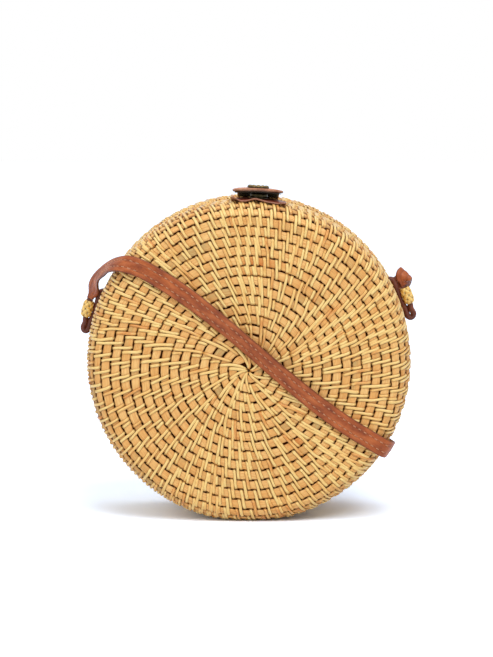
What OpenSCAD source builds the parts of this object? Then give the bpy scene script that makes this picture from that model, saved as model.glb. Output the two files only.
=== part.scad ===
// Round woven shoulder bag: two coiled cane halves hinged at the bottom, closed
// by a leather tab with a press stud and carried on a flat leather strap.
// The bag stands on its rim. X is to the right, the front faces -Y and Z is up.
// The origin is on the floor under the seam where the two halves meet.

/* [Bag] */
// Outer diameter of the bag
bag_d = 200; // [150:1:260]
// Depth of the closed bag, front face to back face
bag_depth = 76; // [60:1:110]
// Thickness of the woven wall
weave_t = 3.6; // [2.6:0.1:4.4]
// Width of one coil row of flat reed
row_pitch = 6.2; // [5:0.1:8]
// Depth of the gap between two rows
row_drop = 1.5; // [0.6:0.1:2]
// Radius of the shoulder between face and side wall
shoulder_r = 9; // [7:0.5:12]
// Depth of the flat worn into the rim where the bag stands
rest_flat = 1; // [0.5:0.1:1.5]
// Gap between the two halves at the seam
seam_gap = 0.6; // [0.4:0.1:1]
// Diameter of the cane hoop along each half's edge
hoop_d = 4.4; // [3.4:0.1:5.4]

/* [Inside] */
// Thickness of the cloth lining
lining_t = 0.8; // [0.6:0.1:1.2]
// Depth of the folded gusset, measured inwards from the lining
gusset_depth = 34; // [20:1:42]
// Thickness of the gusset cloth
gusset_t = 0.5; // [0.4:0.1:0.7]
// Angle of the gusset's upper end above the horizontal
gusset_top = 12; // [0:1:20]
// Angle of the gusset's lower end below the horizontal
gusset_foot = 56; // [40:1:62]

/* [Hinge] */
// Number of cane loops in each lacing
lacing_count = 4; // [2:1:5]
// Width of the split cane in the lacing
lacing_w = 2.2; // [1.6:0.1:2.6]
// Thickness of the split cane in the lacing
lacing_t = 1.1; // [0.8:0.1:1.4]
// Angle between the bottom and the middle of a lacing
lacing_angle = 21; // [18:1:26]

/* [Closure] */
// Tilt of the closure from the top of the bag, towards the right
closure_angle = 3.5; // [0:0.5:8]
// Width of the tab
tab_w = 31; // [24:1:38]
// Thickness of the tab's leather
tab_t = 2; // [1.4:0.1:2.6]
// Reach of the tab in front of the seam
tab_front = 28; // [22:1:30]
// Reach of the sewn root behind the seam
tab_back = 27; // [20:1:32]
// Distance of the tab's fold line behind the seam
tab_fold = 8; // [6:0.5:12]
// Radius of the tab's front corners
tab_corner = 11; // [6:0.5:12]
// Thickness of the backing under the tab
backing_t = 0.7; // [0.5:0.1:1]
// Width of the patch on the front wall
patch_w = 34; // [28:1:40]
// Thickness of the patch
patch_t = 1.6; // [1.2:0.1:2.2]

/* [Press stud] */
// Diameter of the cap
cap_d = 13.5; // [10:0.5:16]
// Height of the cap
cap_h = 2; // [1.4:0.1:2.6]
// Diameter of the post under the cap
post_d = 4; // [3:0.5:5]
// Diameter of the socket under the tab
socket_d = 11; // [9:0.5:13]
// Thickness of the socket
socket_h = 1.3; // [1:0.1:2]
// Diameter of the stud's flange
stud_d = 11; // [9:0.5:13]
// Diameter of the stud's head
head_d = 5.2; // [4:0.2:6]
// Height of the stud over the patch
stud_h = 0.9; // [0.7:0.1:1.4]
// Distance of the press stud in front of the seam
stud_front = 17; // [14:0.5:18]

/* [Strap] */
// Width of the strap
strap_w = 11.5; // [9:0.5:14]
// Thickness of the strap
strap_t = 1.9; // [1.4:0.1:2.4]
// Width of the narrowed end that goes through the ring
thong_w = 5.5; // [4:0.5:7]
// Straight part of one turn of the put-away slack
hank_run = 34; // [20:1:60]
// Radius of the innermost turn of the slack
hank_core = 6; // [5:0.5:8]
// Air between two turns of the slack
hank_air = 0.55; // [0.45:0.05:1]

/* [Side rings] */
// Angle of the left ring above the horizontal
left_ring_angle = 16; // [10:0.5:28]
// Angle of the right ring above the horizontal
right_ring_angle = 21; // [14:0.5:28]
// Height of a ring
ring_h = 10.5; // [8:0.5:13]
// Thickness of a ring's woven wall
ring_wall = 2.4; // [1.4:0.1:2.6]
// Distance of the rings behind the seam
ring_back = 8.4; // [8:0.2:11]
// Air between the bag and the thong that runs up the wall
thong_air = 0.6; // [0.4:0.1:3]

/* [Hidden] */

// Clearances
seat = 0.1;
fit = 0.3;
overrun = 1;

// Main places
bag_r = bag_d / 2;
axis_z = bag_r - rest_flat;
half = bag_depth / 2;
face_r = bag_r - shoulder_r;
wall_top = seam_gap / 2 + hoop_d + seat;
shoulder_len = shoulder_r * PI / 2;
outline_len = face_r + shoulder_len + half - shoulder_r - wall_top;
face_rows = round(face_r / row_pitch);
wall_rows = round((outline_len - face_r) / row_pitch);

// Lining inside the hoop and its lacings
lining_r = bag_r - hoop_d - fit - lacing_t - fit;
lining_h = half - weave_t - fit;
lining_corner = shoulder_r - weave_t - fit;
lining_foot = seam_gap / 2 + fit;

// Colours
reed = [0.86, 0.68, 0.40];
cane = [0.93, 0.80, 0.52];
leather = [0.52, 0.25, 0.15];
dark_leather = [0.20, 0.15, 0.11];
gold = [0.87, 0.66, 0.26];
metal = [0.30, 0.27, 0.18];
cloth = [0.80, 0.74, 0.62];

// Facets of the round surfaces
$fn = 128;

// Vectors and angles

function unit(v) = v / norm(v);

function mix(a, b, u) = a + (b - a) * u;

// Unit vector away from the bag's axis at an angle from +X towards +Z
function out_dir(angle) = [cos(angle), 0, sin(angle)];

// Unit vector round the bag's axis at the same angle
function round_dir(angle) = [-sin(angle), 0, cos(angle)];

// Point at a radius and angle round the bag's axis and a depth from the seam
function bag_point(r, angle, y) = [0, y, axis_z] + r * out_dir(angle);

// Frames

// Revolve frame of one half: its third axis points from the seam to the face
module half_frame(front) {
    translate([0, 0, axis_z])
        mirror([0, front ? 0 : 1, 0])
            rotate([90, 0, 0])
                children();
}

// Place on the wall at a side ring: x outwards, y up the wall, z to the front
module side_frame(left, angle) {
    half_frame(true)
        mirror([left ? 1 : 0, 0, 0])
            rotate([0, 0, angle])
                translate([bag_r, 0, -ring_back])
                    children();
}

// Place on the closure: x outwards, y across the tab, z to the front
module closure_frame() {
    half_frame(true)
        rotate([0, 0, 90 - closure_angle])
            children();
}

// Everything below the floor
module below_floor() {
    translate([-bag_d, -bag_d, -bag_d])
        cube([2 * bag_d, 2 * bag_d, bag_d]);
}

// Woven shell

// Outline of the shell at a length from the middle of the face:
// radius, height over the seam and the two parts of the outward normal
function shell_at(s) =
    s < face_r ? [s, half, 0, 1] :
    s < face_r + shoulder_len ?
        let (a = (s - face_r) / shoulder_r * 180 / PI)
        [face_r + shoulder_r * sin(a), half - shoulder_r + shoulder_r * cos(a), sin(a), cos(a)] :
    [bag_r, half - shoulder_r - (s - face_r - shoulder_len), 1, 0];

// One row of flat reed across its width: places as shares of the width, and how far
// each lies under the crest as a share of the depth of the gap
row_shares = [
    [0, 1],
    [0.07, 0.52],
    [0.16, 0.16],
    [0.34, 0.02],
    [0.66, 0.02],
    [0.84, 0.16],
    [0.93, 0.52]
];

// Outline of a number of rows between two lengths, with no gap in the middle of the face
function row_points(from, to, rows) = [
    for (i = [0:rows - 1])
        for (share = row_shares)
            if (from > 0 || i > 0 || share[0] > row_shares[2][0])
            let (at = shell_at(mix(from, to, (i + share[0]) / rows)))
            let (drop = row_drop * share[1])
            [at[0] - at[2] * drop, at[1] - at[3] * drop]
];

// Quarter circle from its right end to its top, for corners of a revolve profile
corner_steps = 6;
function corner_points(x, y, r) = [
    for (i = [0:corner_steps])
        let (a = 90 * i / corner_steps)
        [x + r * cos(a), y + r * sin(a)]
];

module woven_face(front) {
    edge = face_r - seat;
    profile = concat(
        [[0, half]],
        row_points(0, edge, face_rows),
        [[edge, half - row_drop], [edge, half - weave_t], [0, half - weave_t]]
    );
    half_frame(front)
        rotate_extrude()
            polygon(profile);
}

module woven_wall(front) {
    profile = concat(
        row_points(face_r, outline_len, wall_rows),
        [[bag_r - row_drop, wall_top], [bag_r - weave_t, wall_top]],
        corner_points(face_r, half - shoulder_r, shoulder_r - weave_t)
    );
    difference() {
        half_frame(front)
            rotate_extrude()
                polygon(profile);
        below_floor();
        half_frame(front)
            lacing_notches();
        if (!front) {
            thong_slot(true, left_ring_angle);
            thong_slot(false, right_ring_angle);
        }
    }
}

module front_face() {
    color(reed)
        woven_face(true);
}

module back_face() {
    color(reed)
        woven_face(false);
}

module front_wall() {
    color(reed)
        woven_wall(true);
}

module back_wall() {
    color(reed)
        woven_wall(false);
}

// Cane hoops along the seam

module hoop(front) {
    difference() {
        half_frame(front)
            rotate_extrude()
                translate([bag_r - hoop_d / 2, seam_gap / 2 + hoop_d / 2])
                    circle(d = hoop_d, $fn = 32);
        below_floor();
    }
}

module front_hoop() {
    color(cane)
        hoop(true);
}

module back_hoop() {
    color(cane)
        hoop(false);
}

// Cloth linings

module lining(front) {
    inner_r = lining_r - lining_t;
    inner_h = lining_h - lining_t;
    corner_r = lining_r - lining_corner;
    corner_h = lining_h - lining_corner;
    profile = concat(
        [[lining_r, lining_foot]],
        corner_points(corner_r, corner_h, lining_corner),
        [[0, lining_h], [0, inner_h]],
        reverse_list(corner_points(corner_r, corner_h, lining_corner - lining_t)),
        [[inner_r, lining_foot]]
    );
    difference() {
        half_frame(front)
            rotate_extrude()
                polygon(profile);
        if (!front) {
            thong_slot(true, left_ring_angle);
            thong_slot(false, right_ring_angle);
        }
    }
}

function reverse_list(list) = [for (i = [len(list) - 1:-1:0]) list[i]];

module front_lining() {
    color(cloth)
        lining(true);
}

module back_lining() {
    color(cloth)
        lining(false);
}

// Gussets: a gore of cloth folded inwards once between the two linings

module gusset() {
    outer = lining_r - lining_t - fit;
    inner = outer - gusset_depth;
    leaf = lining_foot + gusset_t;
    half_frame(true)
        rotate([0, 0, -gusset_foot])
            rotate_extrude(angle = gusset_foot + gusset_top)
                polygon([
                    [outer, lining_foot],
                    [outer, leaf],
                    [inner + gusset_t, leaf],
                    [inner, lining_foot],
                    [inner, -lining_foot],
                    [inner + gusset_t, -leaf],
                    [outer, -leaf],
                    [outer, -lining_foot],
                    [inner + 2 * gusset_t, -lining_foot],
                    [inner + 2 * gusset_t, lining_foot]
                ]);
}

module right_gusset() {
    color(cloth)
        gusset();
}

module left_gusset() {
    color(cloth)
        mirror([1, 0, 0])
            gusset();
}

// Hinge: loops of split cane round both hoops, through notches in both walls

lacing_pitch = lacing_w + 2 * fit;
lacing_step = lacing_pitch / bag_r * 180 / PI;
lacing_in = hoop_d / 2 + seat;

// Angles of the loops in both lacings
lacing_angles = [
    for (side = [-1, 1])
        for (i = [0:lacing_count - 1])
            -90 + side * lacing_angle + (i - (lacing_count - 1) / 2) * lacing_step
];

// Outline of a loop round both hoops at a distance from their centres
loop_steps = 8;
function loop_points(r) = [
    for (end = [0, 1])
        for (i = [0:loop_steps])
            let (a = 180 * i / loop_steps + 180 * end)
            let (shift = (end == 0 ? 1 : -1) * (hoop_d + seam_gap) / 2)
            [r * cos(a), r * sin(a) + shift]
];

module hinge_lacings() {
    color(cane)
        half_frame(true)
            for (a = lacing_angles)
                rotate([0, 0, a])
                    translate([bag_r - hoop_d / 2, 0, 0])
                        rotate([90, 0, 0])
                            linear_extrude(height = lacing_w, center = true)
                                difference() {
                                    polygon(loop_points(lacing_in + lacing_t));
                                    polygon(loop_points(lacing_in));
                                }
}

// Room for the loops in a wall's edge
module lacing_notches() {
    span = lacing_count * lacing_step;
    depth = lacing_t + 2 * fit;
    for (side = [-1, 1])
        rotate([0, 0, -90 + side * lacing_angle - span / 2])
            rotate_extrude(angle = span)
                translate([bag_r - weave_t - overrun, wall_top - overrun])
                    square([weave_t + 2 * overrun, depth + overrun]);
}

// Closure: a tab folded over the seam, its backing and the patch under it

patch_r = bag_r + fit / 2;
root_r = bag_r + fit / 2;
stud_r = patch_r + patch_t;
socket_r = stud_r + stud_h + fit;
tab_r = socket_r + socket_h + backing_t + seat;
tab_rise_end = 1.5 * tab_t;
patch_back = wall_top + overrun;
patch_front = half - shoulder_r + strap_t;

// Angle that a length takes up round the bag
function wall_angle(length) = length / bag_r * 180 / PI;

// Fall of the bag's round wall across a flat piece of a width
function wall_fall(width) = bag_r - sqrt(pow(bag_r, 2) - pow(width / 2, 2));

// Sector of a revolve across the closure, from a profile in radius and height
module closure_sector(width) {
    span = wall_angle(width);
    closure_frame()
        rotate([0, 0, -span / 2])
            rotate_extrude(angle = span)
                children();
}

// Radius of the tab's underside: level, an even rise over the fold, level again
function tab_under(h) =
    let (u = (h + tab_fold) / (tab_fold + tab_rise_end))
    h >= tab_rise_end ? tab_r :
    h <= -tab_fold ? root_r :
    mix(root_r, tab_r, u * u * (3 - 2 * u));

// Strip of leather of one thickness over the tab's underside
strip_steps = 10;
function strip_points(from, to, thickness) = concat(
    [for (i = [0:strip_steps]) let (h = mix(from, to, i / strip_steps)) [tab_under(h), h]],
    [for (i = [strip_steps:-1:0]) let (h = mix(from, to, i / strip_steps)) [tab_under(h) + thickness, h]]
);

// Plan of a tab with round front corners: y across, z to the front
module tab_plan(width, back, front, corner) {
    w = width / 2;
    intersection() {
        children();
        closure_frame()
            translate([bag_r / 2, 0, 0])
                rotate([0, 90, 0])
                    linear_extrude(height = bag_r)
                        polygon(concat(
                            [[-back, -w]],
                            [for (i = [0:corner_steps])
                                let (a = 90 * i / corner_steps)
                                [-front + corner - corner * sin(a), -w + corner - corner * cos(a)]],
                            [for (i = [corner_steps:-1:0])
                                let (a = 90 * i / corner_steps)
                                [-front + corner - corner * sin(a), w - corner + corner * cos(a)]],
                            [[-back, w]]
                        ));
    }
}

// Round hole for the post through the tab and its backing
module post_hole() {
    closure_frame()
        translate([socket_r, 0, stud_front])
            rotate([0, 90, 0])
                cylinder(d = post_d + 2 * seat, h = tab_t + backing_t + socket_h + overrun);
}

module closure_tab() {
    color(leather)
        difference() {
            tab_plan(tab_w, -tab_fold, tab_front, tab_corner)
                closure_sector(tab_w)
                    polygon(strip_points(-tab_fold, tab_front, tab_t));
            post_hole();
        }
}

module closure_root() {
    color(leather)
        closure_sector(tab_w)
            polygon(strip_points(-tab_back, -tab_fold - fit, tab_t));
}

module tab_backing() {
    inset = tab_t / 2;
    color(dark_leather)
        difference() {
            tab_plan(tab_w - 2 * inset, tab_rise_end, tab_front - inset, tab_corner - inset)
                closure_sector(tab_w - 2 * inset)
                    translate([tab_r - backing_t - seat, tab_rise_end])
                        square([backing_t, tab_front - inset - tab_rise_end]);
            post_hole();
        }
}

// Places a round piece of the press stud at a radius
module at_stud(r) {
    closure_frame()
        translate([r, 0, stud_front])
            rotate([0, 90, 0])
                children();
}

module snap_cap() {
    edge = cap_h / 2;
    crown_r = cap_d / 2 - edge;
    color(metal)
        at_stud(tab_r + tab_t)
            rotate_extrude()
                polygon(concat(
                    [[0, -tab_t - backing_t - socket_h / 2], [post_d / 2, -tab_t - backing_t - socket_h / 2]],
                    [[post_d / 2, seat], [cap_d / 2, seat]],
                    corner_points(crown_r, cap_h - edge, edge),
                    [[0, cap_h]]
                ));
}

module snap_socket() {
    color(metal)
        at_stud(socket_r)
            difference() {
                cylinder(d = socket_d, h = socket_h - wall_fall(socket_d));
                translate([0, 0, -overrun])
                    cylinder(d = head_d + 2 * fit, h = socket_h / 2 + overrun);
                cylinder(d = post_d + 2 * seat, h = socket_h + overrun);
            }
}

module closure_patch() {
    color(leather)
        difference() {
            closure_sector(patch_w)
                translate([patch_r, patch_back])
                    square([patch_t, patch_front - patch_back]);
            at_stud(bag_r)
                cylinder(d = post_d + 2 * seat, h = patch_t + overrun);
        }
}

module snap_stud() {
    flange_h = stud_h / 3;
    color(metal)
        at_stud(patch_r)
            union() {
                cylinder(d = post_d, h = patch_t + stud_h);
                translate([0, 0, patch_t + seat])
                    cylinder(d = stud_d, h = flange_h);
                translate([0, 0, patch_t + seat])
                    cylinder(d = head_d, h = stud_h - seat);
            }
}

// Side rings, the thongs through them and the anchors inside

ring_bore = strap_t + 2 * fit;
ring_stretch = thong_w - strap_t / 2;
ring_r = ring_bore / 2 + ring_wall;
strip_off = thong_air + strap_t / 2;
ring_off = strip_off + strap_t / 2 + fit + ring_r;
thong_end_t = ring_h / 2 + strap_t / 2;
loop_drop = ring_h / 2 + 3.3 * strap_t;
loop_r = (ring_off - strip_off) / 2;
slot_t = ring_h / 2 + 4.2 * strap_t;
bend_r = strap_t * 1.2;
anchor_t = patch_t;
anchor_r = lining_r - lining_t - fit;
anchor_span = 2.5 * thong_w;
anchor_x = sqrt(pow(anchor_r - anchor_t, 2) - pow(slot_t, 2)) - bag_r;

// Middle line of a thong: down through the ring, round the loop, up the wall and in
thong_line = concat(
    [[ring_off, thong_end_t], [ring_off, -ring_h / 2]],
    [for (a = [0:-20:-180]) [strip_off + loop_r + loop_r * cos(a), -loop_drop + loop_r * sin(a)]],
    [for (a = [0:30:90]) [strip_off - bend_r + bend_r * cos(a), slot_t - bend_r + bend_r * sin(a)]],
    [[anchor_x - strap_t / 2, slot_t]]
);

// Band of one thickness along a line
function line_side(line, i, off) =
    let (n = len(line) - 1)
    let (before = unit(line[max(i, 1)] - line[max(i, 1) - 1]))
    let (after = unit(line[min(i, n - 1) + 1] - line[min(i, n - 1)]))
    let (along = unit(before + after))
    let (reach = off / max(before * along, 0.5))
    line[i] + reach * [-along[1], along[0]];

function band_points(line, thickness) = concat(
    [for (i = [0:len(line) - 1]) line_side(line, i, thickness / 2)],
    [for (i = [len(line) - 1:-1:0]) line_side(line, i, -thickness / 2)]
);

module thong(left, angle) {
    color(leather)
        side_frame(left, angle)
            linear_extrude(height = thong_w, center = true)
                polygon(band_points(thong_line, strap_t));
}

// Slot for a thong through everything that it passes
module thong_slot(left, angle) {
    reach = strap_t - anchor_x + overrun;
    side_frame(left, angle)
        translate([overrun - reach / 2, slot_t, 0])
            cube([reach, strap_t + 2 * fit, thong_w + 2 * fit], center = true);
}

// Upright section of a ring's wall, crowned on the outside
ring_profile = [
    [ring_bore / 2, -0.48 * ring_h],
    [ring_bore / 2 + 0.45 * ring_wall, -0.5 * ring_h],
    [ring_r - 0.15 * ring_wall, -0.42 * ring_h],
    [ring_r, -0.2 * ring_h],
    [ring_r, 0.2 * ring_h],
    [ring_r - 0.15 * ring_wall, 0.42 * ring_h],
    [ring_bore / 2 + 0.45 * ring_wall, 0.5 * ring_h],
    [ring_bore / 2, 0.48 * ring_h]
];

module ring(left, angle) {
    color(gold)
        side_frame(left, angle)
            translate([ring_off, 0, 0])
                rotate([-90, 0, 0])
                    for (turn = [0, 180])
                        rotate([0, 0, turn]) {
                            translate([0, ring_stretch / 2, 0])
                                rotate_extrude(angle = 180, $fn = 48)
                                    polygon(ring_profile);
                            translate([0, ring_stretch / 2, 0])
                                rotate([90, 0, 0])
                                    linear_extrude(height = ring_stretch)
                                        polygon(ring_profile);
                        }
}

module anchor(left, angle) {
    span = wall_angle(anchor_span);
    middle = wall_angle(slot_t);
    color(leather)
        difference() {
            half_frame(true)
                mirror([left ? 1 : 0, 0, 0])
                    rotate([0, 0, angle + middle - span / 2])
                        rotate_extrude(angle = span)
                            translate([anchor_r - anchor_t, -ring_back - anchor_span / 2])
                                square([anchor_t, anchor_span]);
            thong_slot(left, angle);
        }
}

module left_thong() {
    thong(true, left_ring_angle);
}

module right_thong() {
    thong(false, right_ring_angle);
}

module left_ring() {
    ring(true, left_ring_angle);
}

module right_ring() {
    ring(false, right_ring_angle);
}

module left_anchor() {
    anchor(true, left_ring_angle);
}

module right_anchor() {
    anchor(false, right_ring_angle);
}

// Strap: one flat band, drawn through stations and cut into its stretches.
// A station is a point, the outward normal of the strap's outer side and a width.

strap_seat = fit + strap_t / 2;
face_y = half + strap_seat;

function station(point, normal, width) = concat(point, normal, [width]);

// Place over a side ring: the distance above the ring's middle, along its thong
function ring_point(left, angle, t, y) =
    let (p = (bag_r + ring_off) * [cos(angle), sin(angle)] + t * [-sin(angle), cos(angle)])
    [left ? -p[0] : p[0], y, axis_z + p[1]];

// Stations off the bag, as shares: radius of the bag's radius, angle, depth of half
// the bag's depth, parts of the normal outwards, round and to the back, and width
function loose_stations(rows) = [
    for (s = rows)
        station(
            bag_point(s[0] * bag_r, s[1], s[2] * face_y),
            unit(s[3] * out_dir(s[1]) + s[4] * round_dir(s[1]) + [0, s[5], 0]),
            s[6] * strap_w
        )
];

// Stations flat on a face: side to side and up as shares of the bag's radius from
// its axis, and the strap's tilt about its own length in degrees
function flat_stations(rows, side) = [
    for (i = [0:len(rows) - 1])
        let (a = rows[max(i - 1, 0)])
        let (b = rows[min(i + 1, len(rows) - 1)])
        let (along = unit([b[0] - a[0], 0, b[1] - a[1]]))
        let (across = [along[2], 0, -along[0]])
        let (tilt = rows[i][2])
        let (off = half + fit + strap_t / 2 * cos(tilt) + strap_w / 2 * abs(sin(tilt)))
        station(
            [rows[i][0] * bag_r, side * off, axis_z + rows[i][1] * bag_r],
            [0, side * cos(tilt), 0] + across * sin(tilt),
            strap_w
        )
];

left_base = 180 - left_ring_angle;

// Bight from the left ring over the shoulder to the front face
bight_shares = [
    [1.072, left_base - 6.6, 0.15, 0.8, 0, -0.6, 0.66],
    [1.079, left_base - 10, 0.01, 0.87, 0, -0.5, 0.8],
    [1.073, left_base - 13.6, -0.2, 0.93, 0, -0.37, 0.95],
    [1.055, left_base - 17, -0.46, 0.95, 0, -0.31, 1],
    [1.035, left_base - 20.2, -0.74, 0.85, -0.2, -0.5, 1],
    [0.982, left_base - 23.6, -0.985, 0.3, -0.3, -0.9, 1]
];
bight = concat(
    [for (t = [0, strap_t / 2, strap_t])
        station(ring_point(true, left_ring_angle, thong_end_t + fit + t, ring_back),
            out_dir(left_base), thong_w)],
    loose_stations(bight_shares)
);

// Run across the front face
front_shares = [
    [-0.659, 0.596, 0],
    [-0.567, 0.546, 0],
    [-0.475, 0.49, 3],
    [-0.383, 0.428, 8],
    [-0.291, 0.36, 15],
    [-0.199, 0.287, 21],
    [-0.106, 0.211, 25],
    [-0.014, 0.132, 27],
    [0.079, 0.051, 26],
    [0.171, -0.03, 24],
    [0.264, -0.109, 20],
    [0.356, -0.186, 15],
    [0.449, -0.26, 10],
    [0.542, -0.329, 5],
    [0.635, -0.393, 2],
    [0.728, -0.45, 0]
];
front_run = flat_stations(front_shares, -1);

// Wrap round the rim at the lower right
wrap_angle = -31.6;
wrap_shares = [
    [0.955, wrap_angle, -1.015, 0.15, 0, -0.99, 1],
    [1.005, wrap_angle, -0.96, 0.6, 0, -0.8, 1],
    [1.035, wrap_angle, -0.75, 0.93, 0, -0.37, 1],
    [1.042, wrap_angle, -0.4, 1, 0, 0, 1],
    [1.04, wrap_angle, 0, 1, 0, 0, 1],
    [1.036, wrap_angle, 0.45, 1, 0, 0, 1],
    [1.025, wrap_angle, 0.8, 0.9, 0, 0.44, 1],
    [0.99, wrap_angle, 0.99, 0.5, 0, 0.87, 1],
    [0.93, wrap_angle, 1.02, 0.1, 0, 0.99, 1]
];
wrap = loose_stations(wrap_shares);

// Stretch behind the bag: side to side and height over the floor as shares of the
// bag's radius, and the turn from flat on edge, 0, to flat against the face, 90
behind_shares = [
    [0.75, 0.515, 90],
    [0.67, 0.54, 75],
    [0.585, 0.51, 45],
    [0.51, 0.42, 15],
    [0.45, 0.31, 0],
    [0.395, 0.2, 0],
    [0.325, 0.1, 0],
    [0.23, 0.035, 0]
];
rise_shares = [
    [0.268, 0.28, 0],
    [0.315, 0.46, 12],
    [0.405, 0.68, 32],
    [0.525, 0.91, 55],
    [0.65, 1.1, 75],
    [0.735, 1.21, 88],
    [0.805, 1.29, 90]
];

// Stations of such a stretch
function edge_stations(rows) = [
    for (i = [0:len(rows) - 1])
        let (a = rows[max(i - 1, 0)])
        let (b = rows[min(i + 1, len(rows) - 1)])
        let (along = unit([b[0] - a[0], 0, b[1] - a[1]]))
        let (turn = rows[i][2])
        let (reach = strap_w / 2 * cos(turn) + strap_t / 2 * sin(turn))
        station(
            [rows[i][0] * bag_r, half + 2 * fit + reach, rows[i][1] * bag_r],
            [along[2], 0, -along[0]] * cos(turn) + [0, sin(turn), 0],
            strap_w
        )
];

behind_run = edge_stations(behind_shares);
rise_run = edge_stations(rise_shares);

// Hook over the wall from behind down into the right ring
hook_shares = [
    [0.939, right_ring_angle + 1.7, 1.047, 0, 0, 1, 1],
    [1.001, right_ring_angle + 2.5, 1.004, 0.4, 0.1, 0.9, 1],
    [1.049, right_ring_angle + 3.1, 0.856, 0.75, 0.3, 0.6, 1],
    [1.083, right_ring_angle + 4.3, 0.673, 0.92, 0.34, 0.2, 0.97],
    [1.104, right_ring_angle + 5.7, 0.474, 0.93, 0.35, 0.1, 0.92],
    [1.113, right_ring_angle + 6.7, 0.306, 0.8, 0.36, -0.45, 0.9],
    [1.098, right_ring_angle + 6.5, 0.211, 0.35, 0.22, -0.9, 0.95],
    [1.085, right_ring_angle + 5.7, 0.189, 0.15, 0.05, -1, 0.86],
    [1.076, right_ring_angle + 5.1, 0.199, 0.5, 0, -0.86, 0.66]
];
hook = concat(
    loose_stations(hook_shares),
    [for (t = [strap_t, strap_t / 2, 0])
        station(ring_point(false, right_ring_angle, thong_end_t + fit + t, ring_back),
            out_dir(right_ring_angle), thong_w)]
);

// Put-away slack: two strands wound together, joined by a bend in the middle
hank_pitch = strap_t + hank_air;
first_strand_turn = 630;
second_strand_turn = 540;
hank_step = 15;
hank_x = -0.05 * bag_r;
hank_y = half + 2 * fit + strap_w / 2;

function hank_radius(turn) = hank_core + 2 * hank_pitch * turn / 360;

hank_z = hank_radius(first_strand_turn) + strap_t / 2;

// Ends of the straight run that a strand's angle is at: both where it is upright
function hank_sides(a) =
    abs(cos(a)) > 0.01 ? [sign(cos(a))] :
    sin(a) > 0 ? [1, -1] : [-1, 1];

// Points of a strand from the core outwards
function strand_points(start, turns) = [
    for (turn = [0:hank_step:turns])
        for (side = hank_sides(turn + start))
            let (r = hank_radius(turn))
            [hank_x + r * cos(turn + start) + side * hank_run / 2, hank_z + r * sin(turn + start)]
];

// Bend in the middle, as shares of half its length and of the core's radius
bend_shares = [
    [0.93, -0.42],
    [0.72, -0.56],
    [0.36, -0.42],
    [0, 0],
    [-0.36, 0.42],
    [-0.72, 0.56],
    [-0.93, 0.42]
];
hank_line = concat(
    reverse_list(strand_points(0, first_strand_turn)),
    [for (s = bend_shares) [hank_x + s[0] * (hank_run / 2 + hank_core), hank_z + s[1] * hank_core]],
    strand_points(180, second_strand_turn)
);
slack = [
    for (i = [0:len(hank_line) - 1])
        let (a = hank_line[max(i - 1, 0)])
        let (b = hank_line[min(i + 1, len(hank_line) - 1)])
        let (along = unit(b - a))
        station([hank_line[i][0], hank_y, hank_line[i][1]], [along[1], 0, -along[0]], strap_w)
];

// Smooth curve through stations: a number of rings from each to the next, and the
// last station left out
strap_sub = 3;
function curve(p, q, r, s, u) =
    0.5 * (2 * q + (r - p) * u + (2 * p - 5 * q + 4 * r - s) * pow(u, 2)
        + (3 * q - p - 3 * r + s) * pow(u, 3));
function smooth(list, from, to) = [
    for (i = [from:to - 1])
        for (j = [0:strap_sub - 1])
            curve(list[max(i - 1, 0)], list[i], list[i + 1], list[min(i + 2, len(list) - 1)],
                j / strap_sub)
];

// All rings of the strap from the left ring to the right one
stations_in = concat(bight, front_run, wrap, behind_run, [slack[0], slack[1]]);
stations_out = concat([slack[len(slack) - 2], slack[len(slack) - 1]], rise_run, hook);
count_in = len(stations_in) - 2;
count_out = len(stations_out);
slack_from = count_in * strap_sub;
slack_to = slack_from + len(slack) - 1;
rings = concat(
    smooth(stations_in, 0, count_in),
    slack,
    [for (ring = smooth(stations_out, 1, count_out - 1)) if (ring != slack[len(slack) - 1]) ring],
    [stations_out[count_out - 1]]
);
bight_to = len(bight) * strap_sub;
front_to = bight_to + (len(front_run) - 1) * strap_sub;
wrap_to = front_to + len(wrap) * strap_sub;

function ring_place(i) = [rings[i][0], rings[i][1], rings[i][2]];
function ring_normal(i) = [rings[i][3], rings[i][4], rings[i][5]];

// Four corners of the strap's section at a ring
function section(i) =
    let (along = unit(ring_place(min(i + 1, len(rings) - 1)) - ring_place(max(i - 1, 0))))
    let (across = unit(cross(ring_normal(i), along)))
    let (out = cross(along, across))
    let (w = across * rings[i][6] / 2)
    let (t = out * strap_t / 2)
    [for (s = [[1, 1], [-1, 1], [-1, -1], [1, -1]]) ring_place(i) + s[0] * w + s[1] * t];

// Triangles of a tube of four-cornered rings
function tube_faces(count) = concat(
    [[0, 1, 2], [0, 2, 3]],
    [for (i = [0:count - 2])
        for (j = [0:3])
            let (a = 4 * i + j)
            let (b = 4 * i + (j + 1) % 4)
            each [[a, a + 4, b + 4], [a, b + 4, b]]],
    let (last = 4 * (count - 1))
    [[last + 2, last + 1, last], [last + 3, last + 2, last]]
);

module strap_piece(from, to) {
    color(leather)
        polyhedron(
            points = [for (i = [from:to]) each section(i)],
            faces = tube_faces(to - from + 1)
        );
}

module strap_bight() {
    strap_piece(0, bight_to);
}

module strap_front() {
    strap_piece(bight_to, front_to);
}

module strap_wrap() {
    strap_piece(front_to, wrap_to);
}

module strap_behind() {
    strap_piece(wrap_to, slack_from);
}

module strap_slack() {
    strap_piece(slack_from, slack_to);
}

module strap_rise() {
    strap_piece(slack_to, len(rings) - 1);
}

// Real length of the strap and the least air between two turns of its slack
strap_length = [for (i = [1:len(rings) - 1]) norm(ring_place(i) - ring_place(i - 1))]
    * [for (i = [1:len(rings) - 1]) 1];
least_air = min([
    for (i = [slack_from:slack_to])
        for (j = [i + 8:slack_to])
            norm(ring_place(i) - ring_place(j)) - strap_t
]);
echo(strap_length = strap_length, least_air = least_air);

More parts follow.
